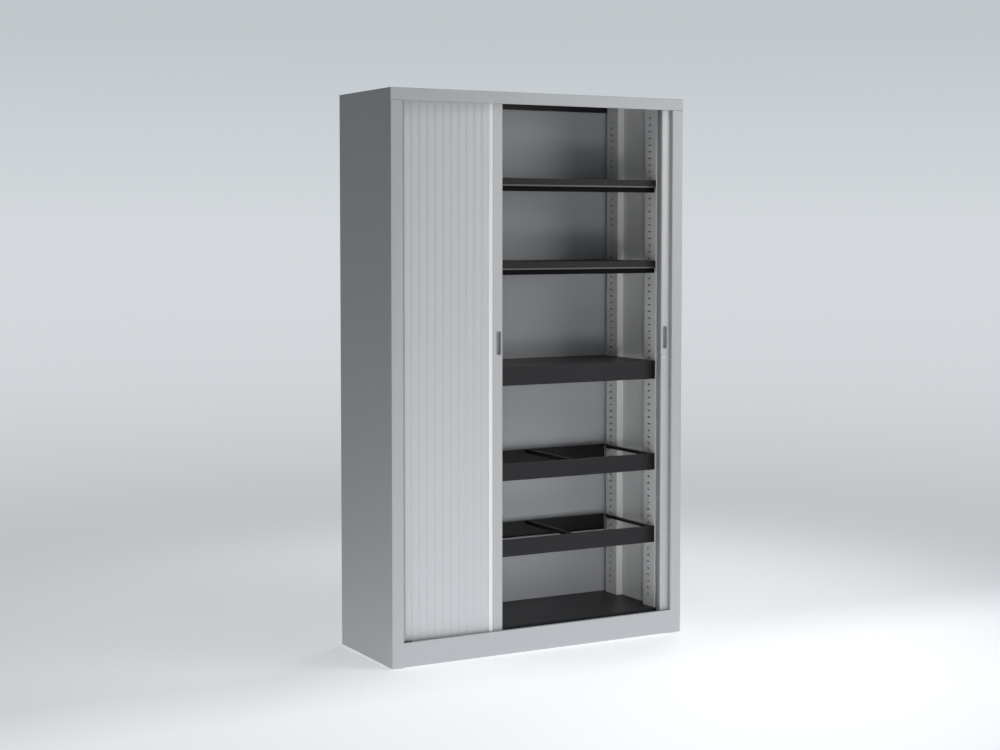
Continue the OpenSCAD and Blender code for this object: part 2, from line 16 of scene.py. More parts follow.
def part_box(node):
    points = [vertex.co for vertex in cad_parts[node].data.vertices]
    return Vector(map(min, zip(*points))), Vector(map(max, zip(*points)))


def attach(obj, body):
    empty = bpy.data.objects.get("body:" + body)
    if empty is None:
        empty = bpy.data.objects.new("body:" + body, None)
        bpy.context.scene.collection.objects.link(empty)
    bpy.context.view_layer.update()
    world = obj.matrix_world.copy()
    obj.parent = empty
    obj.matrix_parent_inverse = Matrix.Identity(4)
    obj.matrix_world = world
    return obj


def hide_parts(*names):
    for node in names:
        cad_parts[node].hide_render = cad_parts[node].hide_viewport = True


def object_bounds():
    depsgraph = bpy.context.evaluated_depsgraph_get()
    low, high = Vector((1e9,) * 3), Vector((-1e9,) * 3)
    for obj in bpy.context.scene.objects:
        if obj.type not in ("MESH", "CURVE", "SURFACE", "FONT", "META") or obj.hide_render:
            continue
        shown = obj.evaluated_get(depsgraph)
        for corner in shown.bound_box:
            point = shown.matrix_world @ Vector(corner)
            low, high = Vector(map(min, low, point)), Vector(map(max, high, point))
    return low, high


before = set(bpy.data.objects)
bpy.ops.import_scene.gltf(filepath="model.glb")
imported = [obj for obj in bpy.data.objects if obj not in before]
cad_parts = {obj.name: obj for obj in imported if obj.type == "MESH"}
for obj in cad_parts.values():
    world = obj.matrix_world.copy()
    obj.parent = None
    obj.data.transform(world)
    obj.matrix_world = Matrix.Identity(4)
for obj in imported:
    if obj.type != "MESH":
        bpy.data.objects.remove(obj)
cad_low, cad_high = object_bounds()
MM = 0.001
HALF_W = cad_high.x
FRONT = cad_low.y
BACK = cad_high.y
TOP = cad_high.z
print("CAD box in metres:", [round(side, 4) for side in cad_high - cad_low])

# %% [markdown]
# ## One class for every node tree
# A finish is a sum of small patterns, and a sum reads best as a sum. The class below wraps one socket
# of a node tree. Python's operators on it add Math nodes, and its `node` method adds any other node:
# settings first, then the values or links of the sockets. It serves shader trees and geometry trees.


# %% The socket class
class Wire:
    """One output socket of a node tree."""

    def __init__(self, tree, socket=None):
        self.tree = tree
        self.socket = socket

    def node(self, kind, inputs=None, settings=None, output=0):
        made = self.tree.nodes.new(kind)
        for name, value in (settings or {}).items():
            setattr(made, name, value)
        for name, value in (inputs or {}).items():
            if isinstance(value, Wire):
                self.tree.links.new(value.socket, made.inputs[name])
            else:
                made.inputs[name].default_value = value
        return Wire(self.tree, made.outputs[output] if made.outputs else None)

    def output(self, name):
        return Wire(self.tree, self.socket.node.outputs[name])

    def math(self, operation, *values, clamp=False):
        settings = {"operation": operation, "use_clamp": clamp}
        return self.node("ShaderNodeMath", dict(enumerate(values)), settings)

    def __add__(self, other):
        return self.math("ADD", self, other)

    def __sub__(self, other):
        return self.math("SUBTRACT", self, other)

    def __rsub__(self, other):
        return self.math("SUBTRACT", other, self)

    def __mul__(self, other):
        return self.math("MULTIPLY", self, other)

    def __truediv__(self, other):
        return self.math("DIVIDE", self, other)

    def __rtruediv__(self, other):
        return self.math("DIVIDE", other, self)

    def __pow__(self, other):
        return self.math("POWER", self, other)

    __radd__ = __add__
    __rmul__ = __mul__


print("methods:", [name for name, value in vars(Wire).items() if callable(value)])

# %% [markdown]
# ## Finishes
# Every finish starts from Object coordinates in metres, so a speck of 2 mm is 2 mm on every piece.
# `grain` is noise with a speck size, drawn out along an axis where the real surface was extruded or
# brushed that way. Only base colour, roughness and the bump change over a surface, because those are
# what an exported model can keep.


# %% Helpers for finishes
def grain(wire, speck, drawn_out=(1, 1, 1), detail=2):
    """Noise from 0 to 1 with specks of a given size in metres, drawn out along each axis."""
    place = wire.node("ShaderNodeTexCoord", output="Object")
    scale = [1 / (speck * stretch) for stretch in drawn_out]
    scaled = wire.node("ShaderNodeMapping", {"Vector": place, "Scale": scale})
    return wire.node("ShaderNodeTexNoise", {"Vector": scaled, "Scale": 1.0, "Detail": detail})


def blend(wire, share, first, second):
    """A colour between two colours."""
    rgba = {"data_type": "RGBA"}
    return wire.node("ShaderNodeMix", {0: share, 6: (*first, 1), 7: (*second, 1)}, rgba, output=2)


def bump(wire, height, strength, distance):
    return wire.node("ShaderNodeBump", {"Height": height, "Strength": strength, "Distance": distance})


def shade(colour, factor):
    return tuple(channel * factor for channel in colour)


def blank_tree(owner):
    """A wire into the emptied node tree of a material or a world."""
    owner.use_nodes = True
    owner.node_tree.nodes.clear()
    return Wire(owner.node_tree)


def new_finish(name, make):
    """A material whose principled inputs come from make(wire)."""
    material = bpy.data.materials.new(name)
    wire = blank_tree(material)
    surface = wire.node("ShaderNodeBsdfPrincipled", make(wire))
    wire.node("ShaderNodeOutputMaterial", {"Surface": surface})
    print("finish", name, "with", len(material.node_tree.nodes), "nodes")
    return material


# %% [markdown]
# ### Powder coat
# The carcass and the shelves are sprayed with powder that melts into a skin with a faint orange peel.
# Two grains do it: a fine one of about 2 mm for the peel, and a broad one that lets the gloss drift a
# little from place to place. The black shelves take the same paint with a smoother, duller skin.


# %% Powder coats
def powder_coat(colour, roughness, peel_height, gloss=0.5):
    def make(wire):
        peel = grain(wire, 2.2 * MM, detail=3)
        drift = grain(wire, 0.35, detail=4)
        speckle = grain(wire, 0.7 * MM, detail=1)
        tone = drift * 0.7 + speckle * 0.3
        return {
            "Base Color": blend(wire, tone, shade(colour, 0.955), shade(colour, 1.045)),
            "Roughness": roughness + (drift - 0.5) * 0.16 + (speckle - 0.5) * 0.08,
            "Specular IOR Level": gloss,
            "Normal": bump(wire, peel, 0.35, peel_height),
        }

    return make


carcass_paint = new_finish("carcass_powder_coat", powder_coat((0.435, 0.447, 0.462), 0.46, 0.05 * MM))
# The inner walls are grey paint, painted much paler than the carcass as painted light that stored contents
# would bounce onto them.
inner_paint_lit = new_finish("inner_powder_coat", powder_coat((0.79, 0.79, 0.785), 0.5, 0.05 * MM))
# The file rail is black, and its near-zero black and low gloss add painted shade for its recess under the
# band.
file_rail_painted_shade = new_finish("black_file_rail", powder_coat((0.003, 0.003, 0.0035), 0.6, 0.04 * MM, 0.06))
band_paint = new_finish("black_band_powder_coat", powder_coat((0.02, 0.02, 0.0205), 0.5, 0.04 * MM, 0.14))
# The hem's paler grey is a painted highlight along the lower edge of the band.
hem_painted_highlight = new_finish("worn_hem_powder_coat", powder_coat((0.085, 0.085, 0.088), 0.4, 0.02 * MM, 0.4))
shelf_black = powder_coat((0.013, 0.0125, 0.014), 0.4, 0.04 * MM, 0.27)
shelf_paint = new_finish("black_shelf_powder_coat", shelf_black)


# %% [markdown]
# ### Extruded and brushed surfaces
# The slats are extruded plastic and the rails extruded aluminium, so both show faint streaks along
# their length. Noise that is drawn out many times along Z gives those streaks. The bead beside the
# slats, tail and all, has the same finish in a much paler tone: a painted highlight that stands out as one
# bright line.


# %% Streaked finishes
def streaked(colour, metallic, roughness, spread, streak_height):
    def make(wire):
        fine = grain(wire, 0.9 * MM, drawn_out=(1, 1, 900), detail=2)
        broad = grain(wire, 7 * MM, drawn_out=(1, 1, 220), detail=2)
        cloud = grain(wire, 0.25, detail=3)
        streak = fine * 0.55 + broad * 0.45
        tone = streak * 0.7 + cloud * 0.3
        return {
            "Base Color": blend(wire, tone, shade(colour, 1 - spread), shade(colour, 1 + spread)),
            "Metallic": metallic,
            "Roughness": roughness + (streak - 0.5) * 0.18 + (cloud - 0.5) * 0.06,
            "Normal": bump(wire, streak, 0.3, streak_height),
        }

    return make


slat_finish = new_finish("slat_plastic", streaked((0.545, 0.558, 0.575), 0, 0.44, 0.035, 0.04 * MM))
rail_finish = new_finish("rail_satin_aluminium", streaked((0.46, 0.463, 0.466), 0.2, 0.5, 0.03, 0.02 * MM))
# The bead's pale tone is a painted highlight.
bead_painted_highlight = new_finish("bright_bead", streaked((0.84, 0.845, 0.85), 0.1, 0.34, 0.02, 0.01 * MM))


# %% [markdown]
# ### Moulded plastic and plated steel
# The tracks, glides and finger cups come out of a mould with a fine spark-eroded texture. The small
# steel parts are zinc plated: the crystals of the plating show as patches that are a little lighter or
# darker, and Voronoi cells are the quickest way to such patches.


# %% Moulded and plated finishes
def moulded(colour, roughness):
    def make(wire):
        texture = grain(wire, 0.45 * MM, detail=2)
        cloud = grain(wire, 30 * MM, detail=3)
        return {
            "Base Color": blend(wire, cloud, shade(colour, 0.9), shade(colour, 1.1)),
            "Roughness": roughness + (texture - 0.5) * 0.15,
            "Normal": bump(wire, texture, 0.4, 0.03 * MM),
        }

    return make


def plated(wire):
    place = wire.node("ShaderNodeTexCoord", output="Object")
    cells = wire.node("ShaderNodeTexVoronoi", {"Vector": place, "Scale": 420.0}, output="Color")
    patch = wire.node("ShaderNodeSeparateColor", {"Color": cells})
    fine = grain(wire, 0.6 * MM, detail=2)
    return {
        "Base Color": blend(wire, patch, (0.55, 0.555, 0.57), (0.68, 0.685, 0.70)),
        "Metallic": 1.0,
        "Roughness": 0.27 + patch * 0.1 + fine * 0.08,
        "Normal": bump(wire, fine, 0.2, 0.02 * MM),
    }


track_finish = new_finish("black_track_plastic", moulded((0.020, 0.020, 0.022), 0.5))
cup_finish = new_finish("dark_cup_plastic", moulded((0.30, 0.305, 0.32), 0.45))
steel_finish = new_finish("zinc_plated_steel", plated)

# %% [markdown]
# ## Folding sheet metal
# Nearly all of the cabinet is thin sheet, bent on a press. A drawing of such a piece is the middle line
# of the sheet: straight runs and corners. `fold_line` rounds the corners, and `fold` gives the line its
# thickness and carries it along the third axis. Two points hold each flat run just beside a bend, so
# that smooth shading bends the light only in the bend and leaves the flat panel flat.


# %% Fold a sheet
def along_x(point, reach):
    return Vector((reach, point[0], point[1]))


def along_y(point, reach):
    return Vector((point[0], reach, point[1]))


def along_z(point, reach):
    return Vector((point[0], point[1], reach))


def fold_line(corners, bend, steps=6):
    """Points on a sheet's middle line, each with the direction to its left."""
    points = [Vector(corner) for corner in corners]
    line = []

    def add_run(start, end):
        run = (end - start).normalized()
        line.append((start, Vector((-run.y, run.x))))
        line.append((end, Vector((-run.y, run.x))))

    start = points[0]
    for before, corner, after in zip(points, points[1:], points[2:]):
        back = (before - corner).normalized()
        ahead = (after - corner).normalized()
        half_angle = back.angle(ahead) / 2
        reach = bend / math.tan(half_angle)
        hold = min(0.6 * bend, 0.4 * MM)
        centre = corner + (back + ahead).normalized() * bend / math.sin(half_angle)
        turn = 1 if back.cross(ahead) < 0 else -1
        add_run(start, corner + back * (reach + hold))
        arm = corner + back * reach - centre
        sweep = turn * (math.pi - 2 * half_angle)
        for step in range(steps + 1):
            spoke = Matrix.Rotation(sweep * step / steps, 2) @ arm
            line.append((centre + spoke, spoke.normalized() * -turn))
        start = corner + ahead * (reach + hold)
    add_run(start, points[-1])
    return line


def fold(mesh, corners, thickness, place, start, end, bend=2 * MM):
    """A closed sheet along a folded line, carried from start to end along the third axis."""
    line = fold_line(corners, bend)
    rings = []
    for reach in (start, end):
        for side in (0.5, -0.5):
            edge = [place(point + left * thickness * side, reach) for point, left in line]
            rings.append([mesh.verts.new(spot) for spot in edge])
    near_left, near_right, far_left, far_right = rings
    skins = [(near_left, far_left), (near_right, far_right)]
    rims = [(near_left, near_right), (far_left, far_right)]
    for ring_a, ring_b in skins + rims:
        for i in range(len(line) - 1):
            mesh.faces.new((ring_a[i], ring_a[i + 1], ring_b[i + 1], ring_b[i]))
    for i in (0, -1):
        mesh.faces.new((near_left[i], far_left[i], far_right[i], near_right[i]))


print("points on a line with one bend:", len(fold_line([(0, 0), (1, 0), (1, 1)], 0.1)))

# %% [markdown]
# ## Other solids
# More helpers cover what isn't folded. `loft` joins a stack of outlines with the same number of points
# and closes both ends. `prism` carries one outline along an axis, `new_prism` is a mesh of one, and
# `plate` is a flat cut sheet. `rounded` draws a rectangle with round corners, again with holding points.


# %% Prisms, lofts and plates
def rounded(low, high, radius, steps=5):
    """Outline of a rectangle with round corners, running anticlockwise."""
    outline = []
    hold = 0.25 * MM
    corners = [(high[0], high[1], 0), (low[0], high[1], 90), (low[0], low[1], 180), (high[0], low[1], 270)]
    for x, y, first in corners:
        turn = math.radians(first)
        inward = Vector((-1 if x == high[0] else 1, -1 if y == high[1] else 1)) * radius
        centre = Vector((x, y)) + inward
        arc = [turn + math.radians(90) * step / steps for step in range(steps + 1)]
        spots = [centre + Vector((math.cos(angle), math.sin(angle))) * radius for angle in arc]
        outline.append(spots[0] + Vector((math.sin(turn), -math.cos(turn))) * hold)
        outline.extend(spots)
        outline.append(spots[-1] + Vector((-math.cos(turn), -math.sin(turn))) * hold)
    return outline


def circle(centre, radius, steps=48):
    spots = [math.tau * step / steps for step in range(steps)]
    return [Vector(centre) + Vector((math.cos(angle), math.sin(angle))) * radius for angle in spots]


def loft(mesh, outlines, hollow=False):
    """A closed solid through a stack of outlines. A hollow one leads from the last back to the first."""
    rings = [[mesh.verts.new(point) for point in outline] for outline in outlines]
    count = len(rings[0])
    ahead = rings[1:] + rings[:1] if hollow else rings[1:]
    for lower, upper in zip(rings, ahead):
        for i in range(count):
            after = (i + 1) % count
            mesh.faces.new((lower[i], lower[after], upper[after], upper[i]))
    if not hollow:
        mesh.faces.new(rings[0])
        mesh.faces.new(rings[-1])


def prism(mesh, outline, place, start, end):
    loft(mesh, [[place(point, reach) for point in outline] for reach in (start, end)])


def new_prism(outline, place, start, end):
    """A new mesh with one prism in it."""
    mesh = bmesh.new()
    prism(mesh, outline, place, start, end)
    return mesh


def plate(mesh, x, y, z):
    """A flat cut sheet between two limits along each axis."""
    prism(mesh, [(x[0], y[0]), (x[1], y[0]), (x[1], y[1]), (x[0], y[1])], along_z, z[0], z[1])


def mesh_data(name, mesh, finish):
    """A Blender mesh with outward faces and smooth bends."""
    bmesh.ops.recalc_face_normals(mesh, faces=mesh.faces)
    data = bpy.data.meshes.new(name)
    mesh.to_mesh(data)
    mesh.free()
    data.materials.append(finish)
    return data


def new_object(name, data):
    made = bpy.data.objects.new(name, data)
    bpy.context.scene.collection.objects.link(made)
    return made


def dress(data, body, slot, *nodes):
    """Shows a mesh as a piece of the object that rides on a body and stands for CAD nodes."""
    data.shade_smooth()
    data.set_sharp_from_angle(angle=math.radians(30))
    piece = new_object(data.name, data)
    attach(piece, body)
    if nodes:
        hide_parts(*nodes)
    print(piece.name, "on", body, "has", len(data.polygons), "faces")


# %% [markdown]
# ## Side panels
# A side panel is one sheet: a rear flange, the wall, the stile that is folded round in front, and a
# return behind the stile. The round front corner catches a thin line of light along its whole height.
# The stile stops under the top rail with a hairline joint, and beside the plinth it has no return.

# %% Fold the side panels
SHEET = 1.2 * MM
HALF_SHEET = SHEET / 2
STILE = 45 * MM
RETURN = 12 * MM
FLANGE = 31.2 * MM
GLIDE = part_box("left_side_panel")[0].z
PLINTH_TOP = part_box("plinth")[1].z
RAIL_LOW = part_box("top_panel")[0].z
JOINT = 0.35 * MM
BACK_GAP = 2 * MM


def side_sheet(sign):
    mesh = bmesh.new()
    wall_x = sign * (HALF_W - HALF_SHEET)
    tip_x = sign * (HALF_W - FLANGE)
    edge_x = sign * (HALF_W - STILE)
    front_y = FRONT + HALF_SHEET
    rear_y = BACK - HALF_SHEET
    wall = [(tip_x, rear_y), (wall_x, rear_y)]
    stile = wall + [(wall_x, front_y), (edge_x, front_y)]
    return_x = edge_x + sign * HALF_SHEET
    full = wall + [(wall_x, front_y), (return_x, front_y), (return_x, FRONT + RETURN)]
    fold(mesh, stile, SHEET, along_z, GLIDE, PLINTH_TOP)
    fold(mesh, full, SHEET, along_z, PLINTH_TOP, RAIL_LOW - JOINT)
    fold(mesh, wall + [(wall_x, FRONT)], SHEET, along_z, RAIL_LOW - JOINT, TOP - SHEET)
    inner_x = sign * (HALF_W - SHEET)
    plate(mesh, sorted((sign * HALF_W, inner_x)), (FRONT, BACK), (TOP - SHEET, TOP))
    plate(mesh, sorted((inner_x, tip_x)), (FRONT + SHEET, BACK - BACK_GAP), (GLIDE, GLIDE + SHEET))
    return mesh


for side, sign in (("left", -1), ("right", 1)):
    data = mesh_data(f"{side}_side_sheet", side_sheet(sign), carcass_paint)
    dress(data, "carcass", "carcass_paint", f"{side}_side_panel")

# %% [markdown]
# A grey line of painted shade runs down beside the left stile, where the curtain comes out and lies in
# shadow. It is drawn as a grey strip: an angle glued to the return, whose free leg reaches in front of the
# curtain. At its foot a small black plate lies on the plinth in the corner.

# %% Lip beside the left stile
# The strip's grey is painted shade for the curtain's shadowed edge beside the stile.
shade_strip_finish = new_finish("grey_rubber", moulded((0.30, 0.302, 0.306), 0.6))
STRIP_T = 1 * MM
STRIP_REACH = 6.5 * MM
STRIP_DEPTH = 3 * MM
STRIP_GAP = 0.5 * MM
stile_edge = -HALF_W + STILE
glued_x = stile_edge + STRIP_T / 2
lip_y = FRONT + STRIP_DEPTH
mesh = bmesh.new()
line = [(glued_x, FRONT + RETURN - STRIP_T), (glued_x, lip_y), (stile_edge + STRIP_REACH, lip_y)]
fold(mesh, line, STRIP_T, along_z, PLINTH_TOP + STRIP_GAP, RAIL_LOW - STRIP_GAP, bend=0.8 * MM)
dress(mesh_data("dust_lip", mesh, shade_strip_finish), "carcass", "track_plastic")

# %% Dark plate at its foot
corner_plate_finish = new_finish("black_plastic", moulded((0.006, 0.006, 0.0065), 0.55))
CORNER_PLATE_W = 30 * MM
CORNER_PLATE_H = 5.5 * MM
CORNER_PLATE_FRONT = FRONT + 0.8 * MM
CORNER_PLATE_BACK = FRONT + 2.2 * MM
corner_outline = rounded((CORNER_PLATE_FRONT, PLINTH_TOP), (CORNER_PLATE_BACK, PLINTH_TOP + CORNER_PLATE_H), 0.5 * MM)
mesh = new_prism(corner_outline, along_x, stile_edge, stile_edge + CORNER_PLATE_W)
dress(mesh_data("corner_stop", mesh, corner_plate_finish), "carcass", "track_plastic")

# %% [markdown]
# ## Top, plinth and floor
# These are folded across the cabinet, so their lines are drawn in a cut from front to back. The top turns
# down into the top rail, back under it and up in a hem. The plinth has a hem behind its upper edge. The
# black floor steps down in front to carry the lower track.


# %% Fold the top
def lay_fold(mesh, corners, thickness, half_length, bend=2 * MM):
    """A sheet folded along X, from -half_length to half_length."""
    fold(mesh, corners, thickness, along_x, -half_length, half_length, bend)


REAR_FOLD = 30 * MM
RAIL_HEM = 21 * MM
front_y = FRONT + HALF_SHEET
hem_y = FRONT + RETURN - HALF_SHEET
inner_half = HALF_W - SHEET
rear_half = HALF_W - FLANGE - SHEET
rear_fold_low = TOP - SHEET - REAR_FOLD
top_z = TOP - HALF_SHEET
rail_z = RAIL_LOW + HALF_SHEET
rail_run = [(front_y, top_z), (front_y, rail_z), (hem_y, rail_z), (hem_y, RAIL_LOW + RAIL_HEM)]
top_mesh = bmesh.new()
rear_run = [(BACK - HALF_SHEET, rear_fold_low), (BACK - HALF_SHEET, top_z)]
lay_fold(top_mesh, rear_run + rail_run, SHEET, rear_half)
for sign in (-1, 1):
    ends = sorted((sign * rear_half, sign * inner_half))
    fold(top_mesh, [(BACK, top_z)] + rail_run, SHEET, along_x, ends[0], ends[1])
    lining = sorted((sign * inner_half, sign * (inner_half - SHEET)))
    plate(top_mesh, lining, (FRONT + RETURN, BACK - BACK_GAP), (RAIL_LOW, TOP - SHEET))
dress(mesh_data("top_sheet", top_mesh, carcass_paint), "carcass", "carcass_paint", "top_panel")

# %% Fold the plinth
plinth_half = HALF_W - STILE
ledge_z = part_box("floor_panel")[0].z + HALF_SHEET
base_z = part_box("plinth")[0].z + HALF_SHEET
cap_z = PLINTH_TOP - HALF_SHEET
plinth_mesh = bmesh.new()
plinth_line = [(FRONT + FLANGE, base_z), (front_y, base_z), (front_y, cap_z)]
plinth_line += [(hem_y, cap_z), (hem_y, ledge_z)]
lay_fold(plinth_mesh, plinth_line, SHEET, plinth_half)
dress(mesh_data("plinth_sheet", plinth_mesh, carcass_paint), "carcass", "carcass_paint", "plinth")

# %% Fold the floor
step_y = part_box("bottom_track")[1].y + HALF_SHEET
floor_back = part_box("floor_panel")[1].y
floor_mesh = bmesh.new()
floor_line = [(floor_back, cap_z), (step_y, cap_z), (step_y, ledge_z), (FRONT + RETURN, ledge_z)]
lay_fold(floor_mesh, floor_line, SHEET, inner_half)
dress(mesh_data("floor_sheet", floor_mesh, shelf_paint), "carcass", "shelf_paint", "floor_panel")

# %% [markdown]
# ## Tracks
# The slats and the rails run in two plastic channels with a square bottom and thin walls. Drawn as a
# fold with tight bends, a channel needs four points.

# %% Fold the tracks
TRACK = 1.6 * MM
for name, open_up in (("top_track", False), ("bottom_track", True)):
    low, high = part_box(name)
    mesh = bmesh.new()
    lip, web = (high.z, low.z + TRACK / 2) if open_up else (low.z, high.z - TRACK / 2)
    near, far = low.y + TRACK / 2, high.y - TRACK / 2
    lay_fold(mesh, [(near, lip), (near, web), (far, web), (far, lip)], TRACK, high.x, bend=1.2 * MM)
    dress(mesh_data(name + "_channel", mesh, track_finish), "carcass", "track_plastic", name)

# %% [markdown]
# ## Geometry Nodes helpers
# What repeats is left to Geometry Nodes. Each tree has named inputs, and `realise` hands the values to a
# modifier by the sockets' identifiers, evaluates it once, and keeps the plain mesh. The helper objects go
# away again, so nothing is left that an export would drop.


# %% Build and run a geometry tree
def new_tree(name, inputs):
    """A geometry tree with named inputs: the tree, and a wire from each input."""
    tree = bpy.data.node_groups.new(name, "GeometryNodeTree")
    tree.interface.new_socket("Result", in_out="OUTPUT", socket_type="NodeSocketGeometry")
    for label, kind in inputs.items():
        tree.interface.new_socket(label, in_out="INPUT", socket_type="NodeSocket" + kind)
    given = tree.nodes.new("NodeGroupInput")
    return tree, {label: Wire(tree, given.outputs[label]) for label in inputs}


def end_tree(geometry, finish):
    """Realizes the instances, sets the finish and closes the tree."""
    plain = geometry.node("GeometryNodeRealizeInstances", {"Geometry": geometry})
    painted = geometry.node("GeometryNodeSetMaterial", {"Geometry": plain, "Material": finish})
    geometry.node("NodeGroupOutput", {"Result": painted})
    print("tree", geometry.tree.name, "with", len(geometry.tree.nodes), "nodes")


def plain_mesh(name, holder):
    """The mesh of an object as its modifiers leave it."""
    graph = bpy.context.evaluated_depsgraph_get()
    made = bpy.data.meshes.new_from_object(holder.evaluated_get(graph), depsgraph=graph)
    made.name = name
    return made


def realise(name, data, tree, values):
    """The mesh that a tree makes from a start mesh and its named inputs."""
    holder = new_object(name, data)
    modifier = holder.modifiers.new(name, "NODES")
    modifier.node_group = tree
    for item in tree.interface.items_tree:
        if item.in_out == "INPUT" and item.name in values:
            modifier[item.identifier] = values[item.name]
    made = plain_mesh(name, holder)
    holder.modifiers.remove(modifier)
    bpy.data.objects.remove(holder)
    return made


def vector(wire, x=0.0, y=0.0, z=0.0):
    return wire.node("ShaderNodeCombineXYZ", {"X": x, "Y": y, "Z": z})


# %% [markdown]
# ## Slotted uprights
# Four folded channels carry the shelves. Each has a column of slots, one every 25 mm, that the shelf
# supports hook into. Punching is a boolean: the tree sets out a column of flat blocks, one for each slot,
# that reach across the cabinet, and takes them from the left and the right channel at once.

# %% The punching tree
punch_inputs = {"Sheet": "Geometry", "First slot": "Vector", "Slots": "Int", "Finish": "Material"}
punch_inputs |= dict.fromkeys(("Slot length", "Slot height", "Slot reach", "Pitch"), "Float")
punch_tree, given = new_tree("punch_slots", punch_inputs)
sheet = given["Sheet"]
block_size = vector(sheet, given["Slot reach"], given["Slot length"], given["Slot height"])
block = sheet.node("GeometryNodeMeshCube", {"Size": block_size})
row_inputs = {
    "Count": given["Slots"],
    "Start Location": given["First slot"],
    "Offset": vector(sheet, z=given["Pitch"]),
}
row = sheet.node("GeometryNodeMeshLine", row_inputs, {"mode": "OFFSET"})
blocks = sheet.node("GeometryNodeInstanceOnPoints", {"Points": row, "Instance": block})
solid_blocks = sheet.node("GeometryNodeRealizeInstances", {"Geometry": blocks})
boolean = {"operation": "DIFFERENCE", "solver": "EXACT"}
punched = sheet.node("GeometryNodeMeshBoolean", {"Mesh 1": sheet, "Mesh 2": solid_blocks}, boolean)
end_tree(punched, given["Finish"])

# %% Punch the four uprights
UPRIGHT = 1.5 * MM
UPRIGHT_D = 26 * MM
SLOT_PITCH = 25 * MM
SLOT_START = 44 * MM
SLOT_FIRST = PLINTH_TOP + SLOT_START
SLOT_INSET = 45 * MM
for name in ("front_uprights", "rear_uprights"):
    low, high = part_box(name)
    near, far = low.y + UPRIGHT / 2, high.y - UPRIGHT / 2
    mesh = bmesh.new()
    for sign in (-1, 1):
        tip_x = sign * high.x
        web_x = sign * (high.x - UPRIGHT_D + UPRIGHT / 2)
        channel = [(tip_x, near), (web_x, near), (web_x, far), (tip_x, far)]
        fold(mesh, channel, UPRIGHT, along_z, low.z, high.z)
    values = {
        "Slot length": 16 * MM,
        "Slot height": 5 * MM,
        "Slot reach": 2 * high.x,
        "First slot": (0, low.y + SLOT_INSET, SLOT_FIRST),
        "Pitch": SLOT_PITCH,
        "Slots": int((high.z - SLOT_FIRST - SLOT_START) / SLOT_PITCH) + 1,
        "Finish": inner_paint_lit,
    }
    data = realise(name + "_channels", mesh_data(name, mesh, inner_paint_lit), punch_tree, values)
    dress(data, "carcass", "carcass_paint", name)

# %% [markdown]
# ## Shelves and filing frames
# The two plain shelves have a front of two bands: the shelf's own, with a hem along its lower edge that is
# painted a paler grey as a painted highlight, and below it a file rail that is stepped back, black, and
# painted darker than the shelves as painted shade in its recess. The third has one deep front with a lip.
# All are drawn as one line from the fold at the back to the front. The filing frames are open: two bars and
# two end angles.

# %% Fold the shelves
SHELF = 1 * MM
HALF_SHELF = SHELF / 2
END_H = 15 * MM
LIP = 14 * MM
BAND_H = 28 * MM
BAND_STEP = 8 * MM
TIGHT = 1.3 * MM
PLAIN_SHELVES = ("upper_shelf", "middle_shelf")
FILING_FRAMES = ("upper_filing_frame", "lower_filing_frame")


def shelf_sheet(name, deep_front, finish):
    low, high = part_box(name)
    mesh = bmesh.new()
    skin_z = high.z - HALF_SHELF
    face_y = low.y + HALF_SHELF
    lip_z = low.z + HALF_SHELF
    rear_y = high.y - HALF_SHELF
    line = [(rear_y, high.z - END_H), (rear_y, skin_z), (face_y, skin_z)]
    if deep_front:
        line += [(face_y, lip_z), (low.y + LIP, lip_z)]
    else:
        under_z = high.z - BAND_H + HALF_SHELF
        line += [(face_y, under_z), (low.y + BAND_STEP - SHELF, under_z)]
    lay_fold(mesh, line, SHELF, high.x, bend=TIGHT)
    for sign in (-1, 1):
        end = sorted((sign * high.x, sign * (high.x - SHELF)))
        plate(mesh, end, (low.y + 2 * SHELF, high.y - 2 * SHELF), (high.z - END_H, high.z - SHELF))
    return mesh_data(name + "_sheet", mesh, finish)


for name in PLAIN_SHELVES:
    dress(shelf_sheet(name, False, band_paint), "carcass", "shelf_paint", name)
dress(shelf_sheet("lower_shelf", True, shelf_paint), "carcass", "shelf_paint", "lower_shelf")

# %% Hems and file rails of the plain shelves
HEM_H = 5.5 * MM
HEM_T = 1.2 * MM
# Each hem's pale grey is a painted highlight along the band's lower edge.
for name in PLAIN_SHELVES:
    low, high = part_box(name)
    hem_low = high.z - BAND_H
    hem = rounded((low.y - HEM_T, hem_low), (low.y, hem_low + HEM_H), 0.55 * MM)
    mesh = new_prism(hem, along_x, -high.x, high.x)
    dress(mesh_data(name + "_hem", mesh, hem_painted_highlight), "carcass", "shelf_paint")
    step_y = low.y + BAND_STEP - HALF_SHELF
    lip_z = low.z + HALF_SHELF
    # The file rail's near-black is painted shade for its recess under the band.
    mesh = bmesh.new()
    line = [(step_y, high.z - BAND_H + SHELF), (step_y, lip_z), (low.y + BAND_STEP + LIP, lip_z)]
    lay_fold(mesh, line, SHELF, high.x, bend=TIGHT)
    dress(mesh_data(name + "_file_rail", mesh, file_rail_painted_shade), "carcass", "shelf_paint")

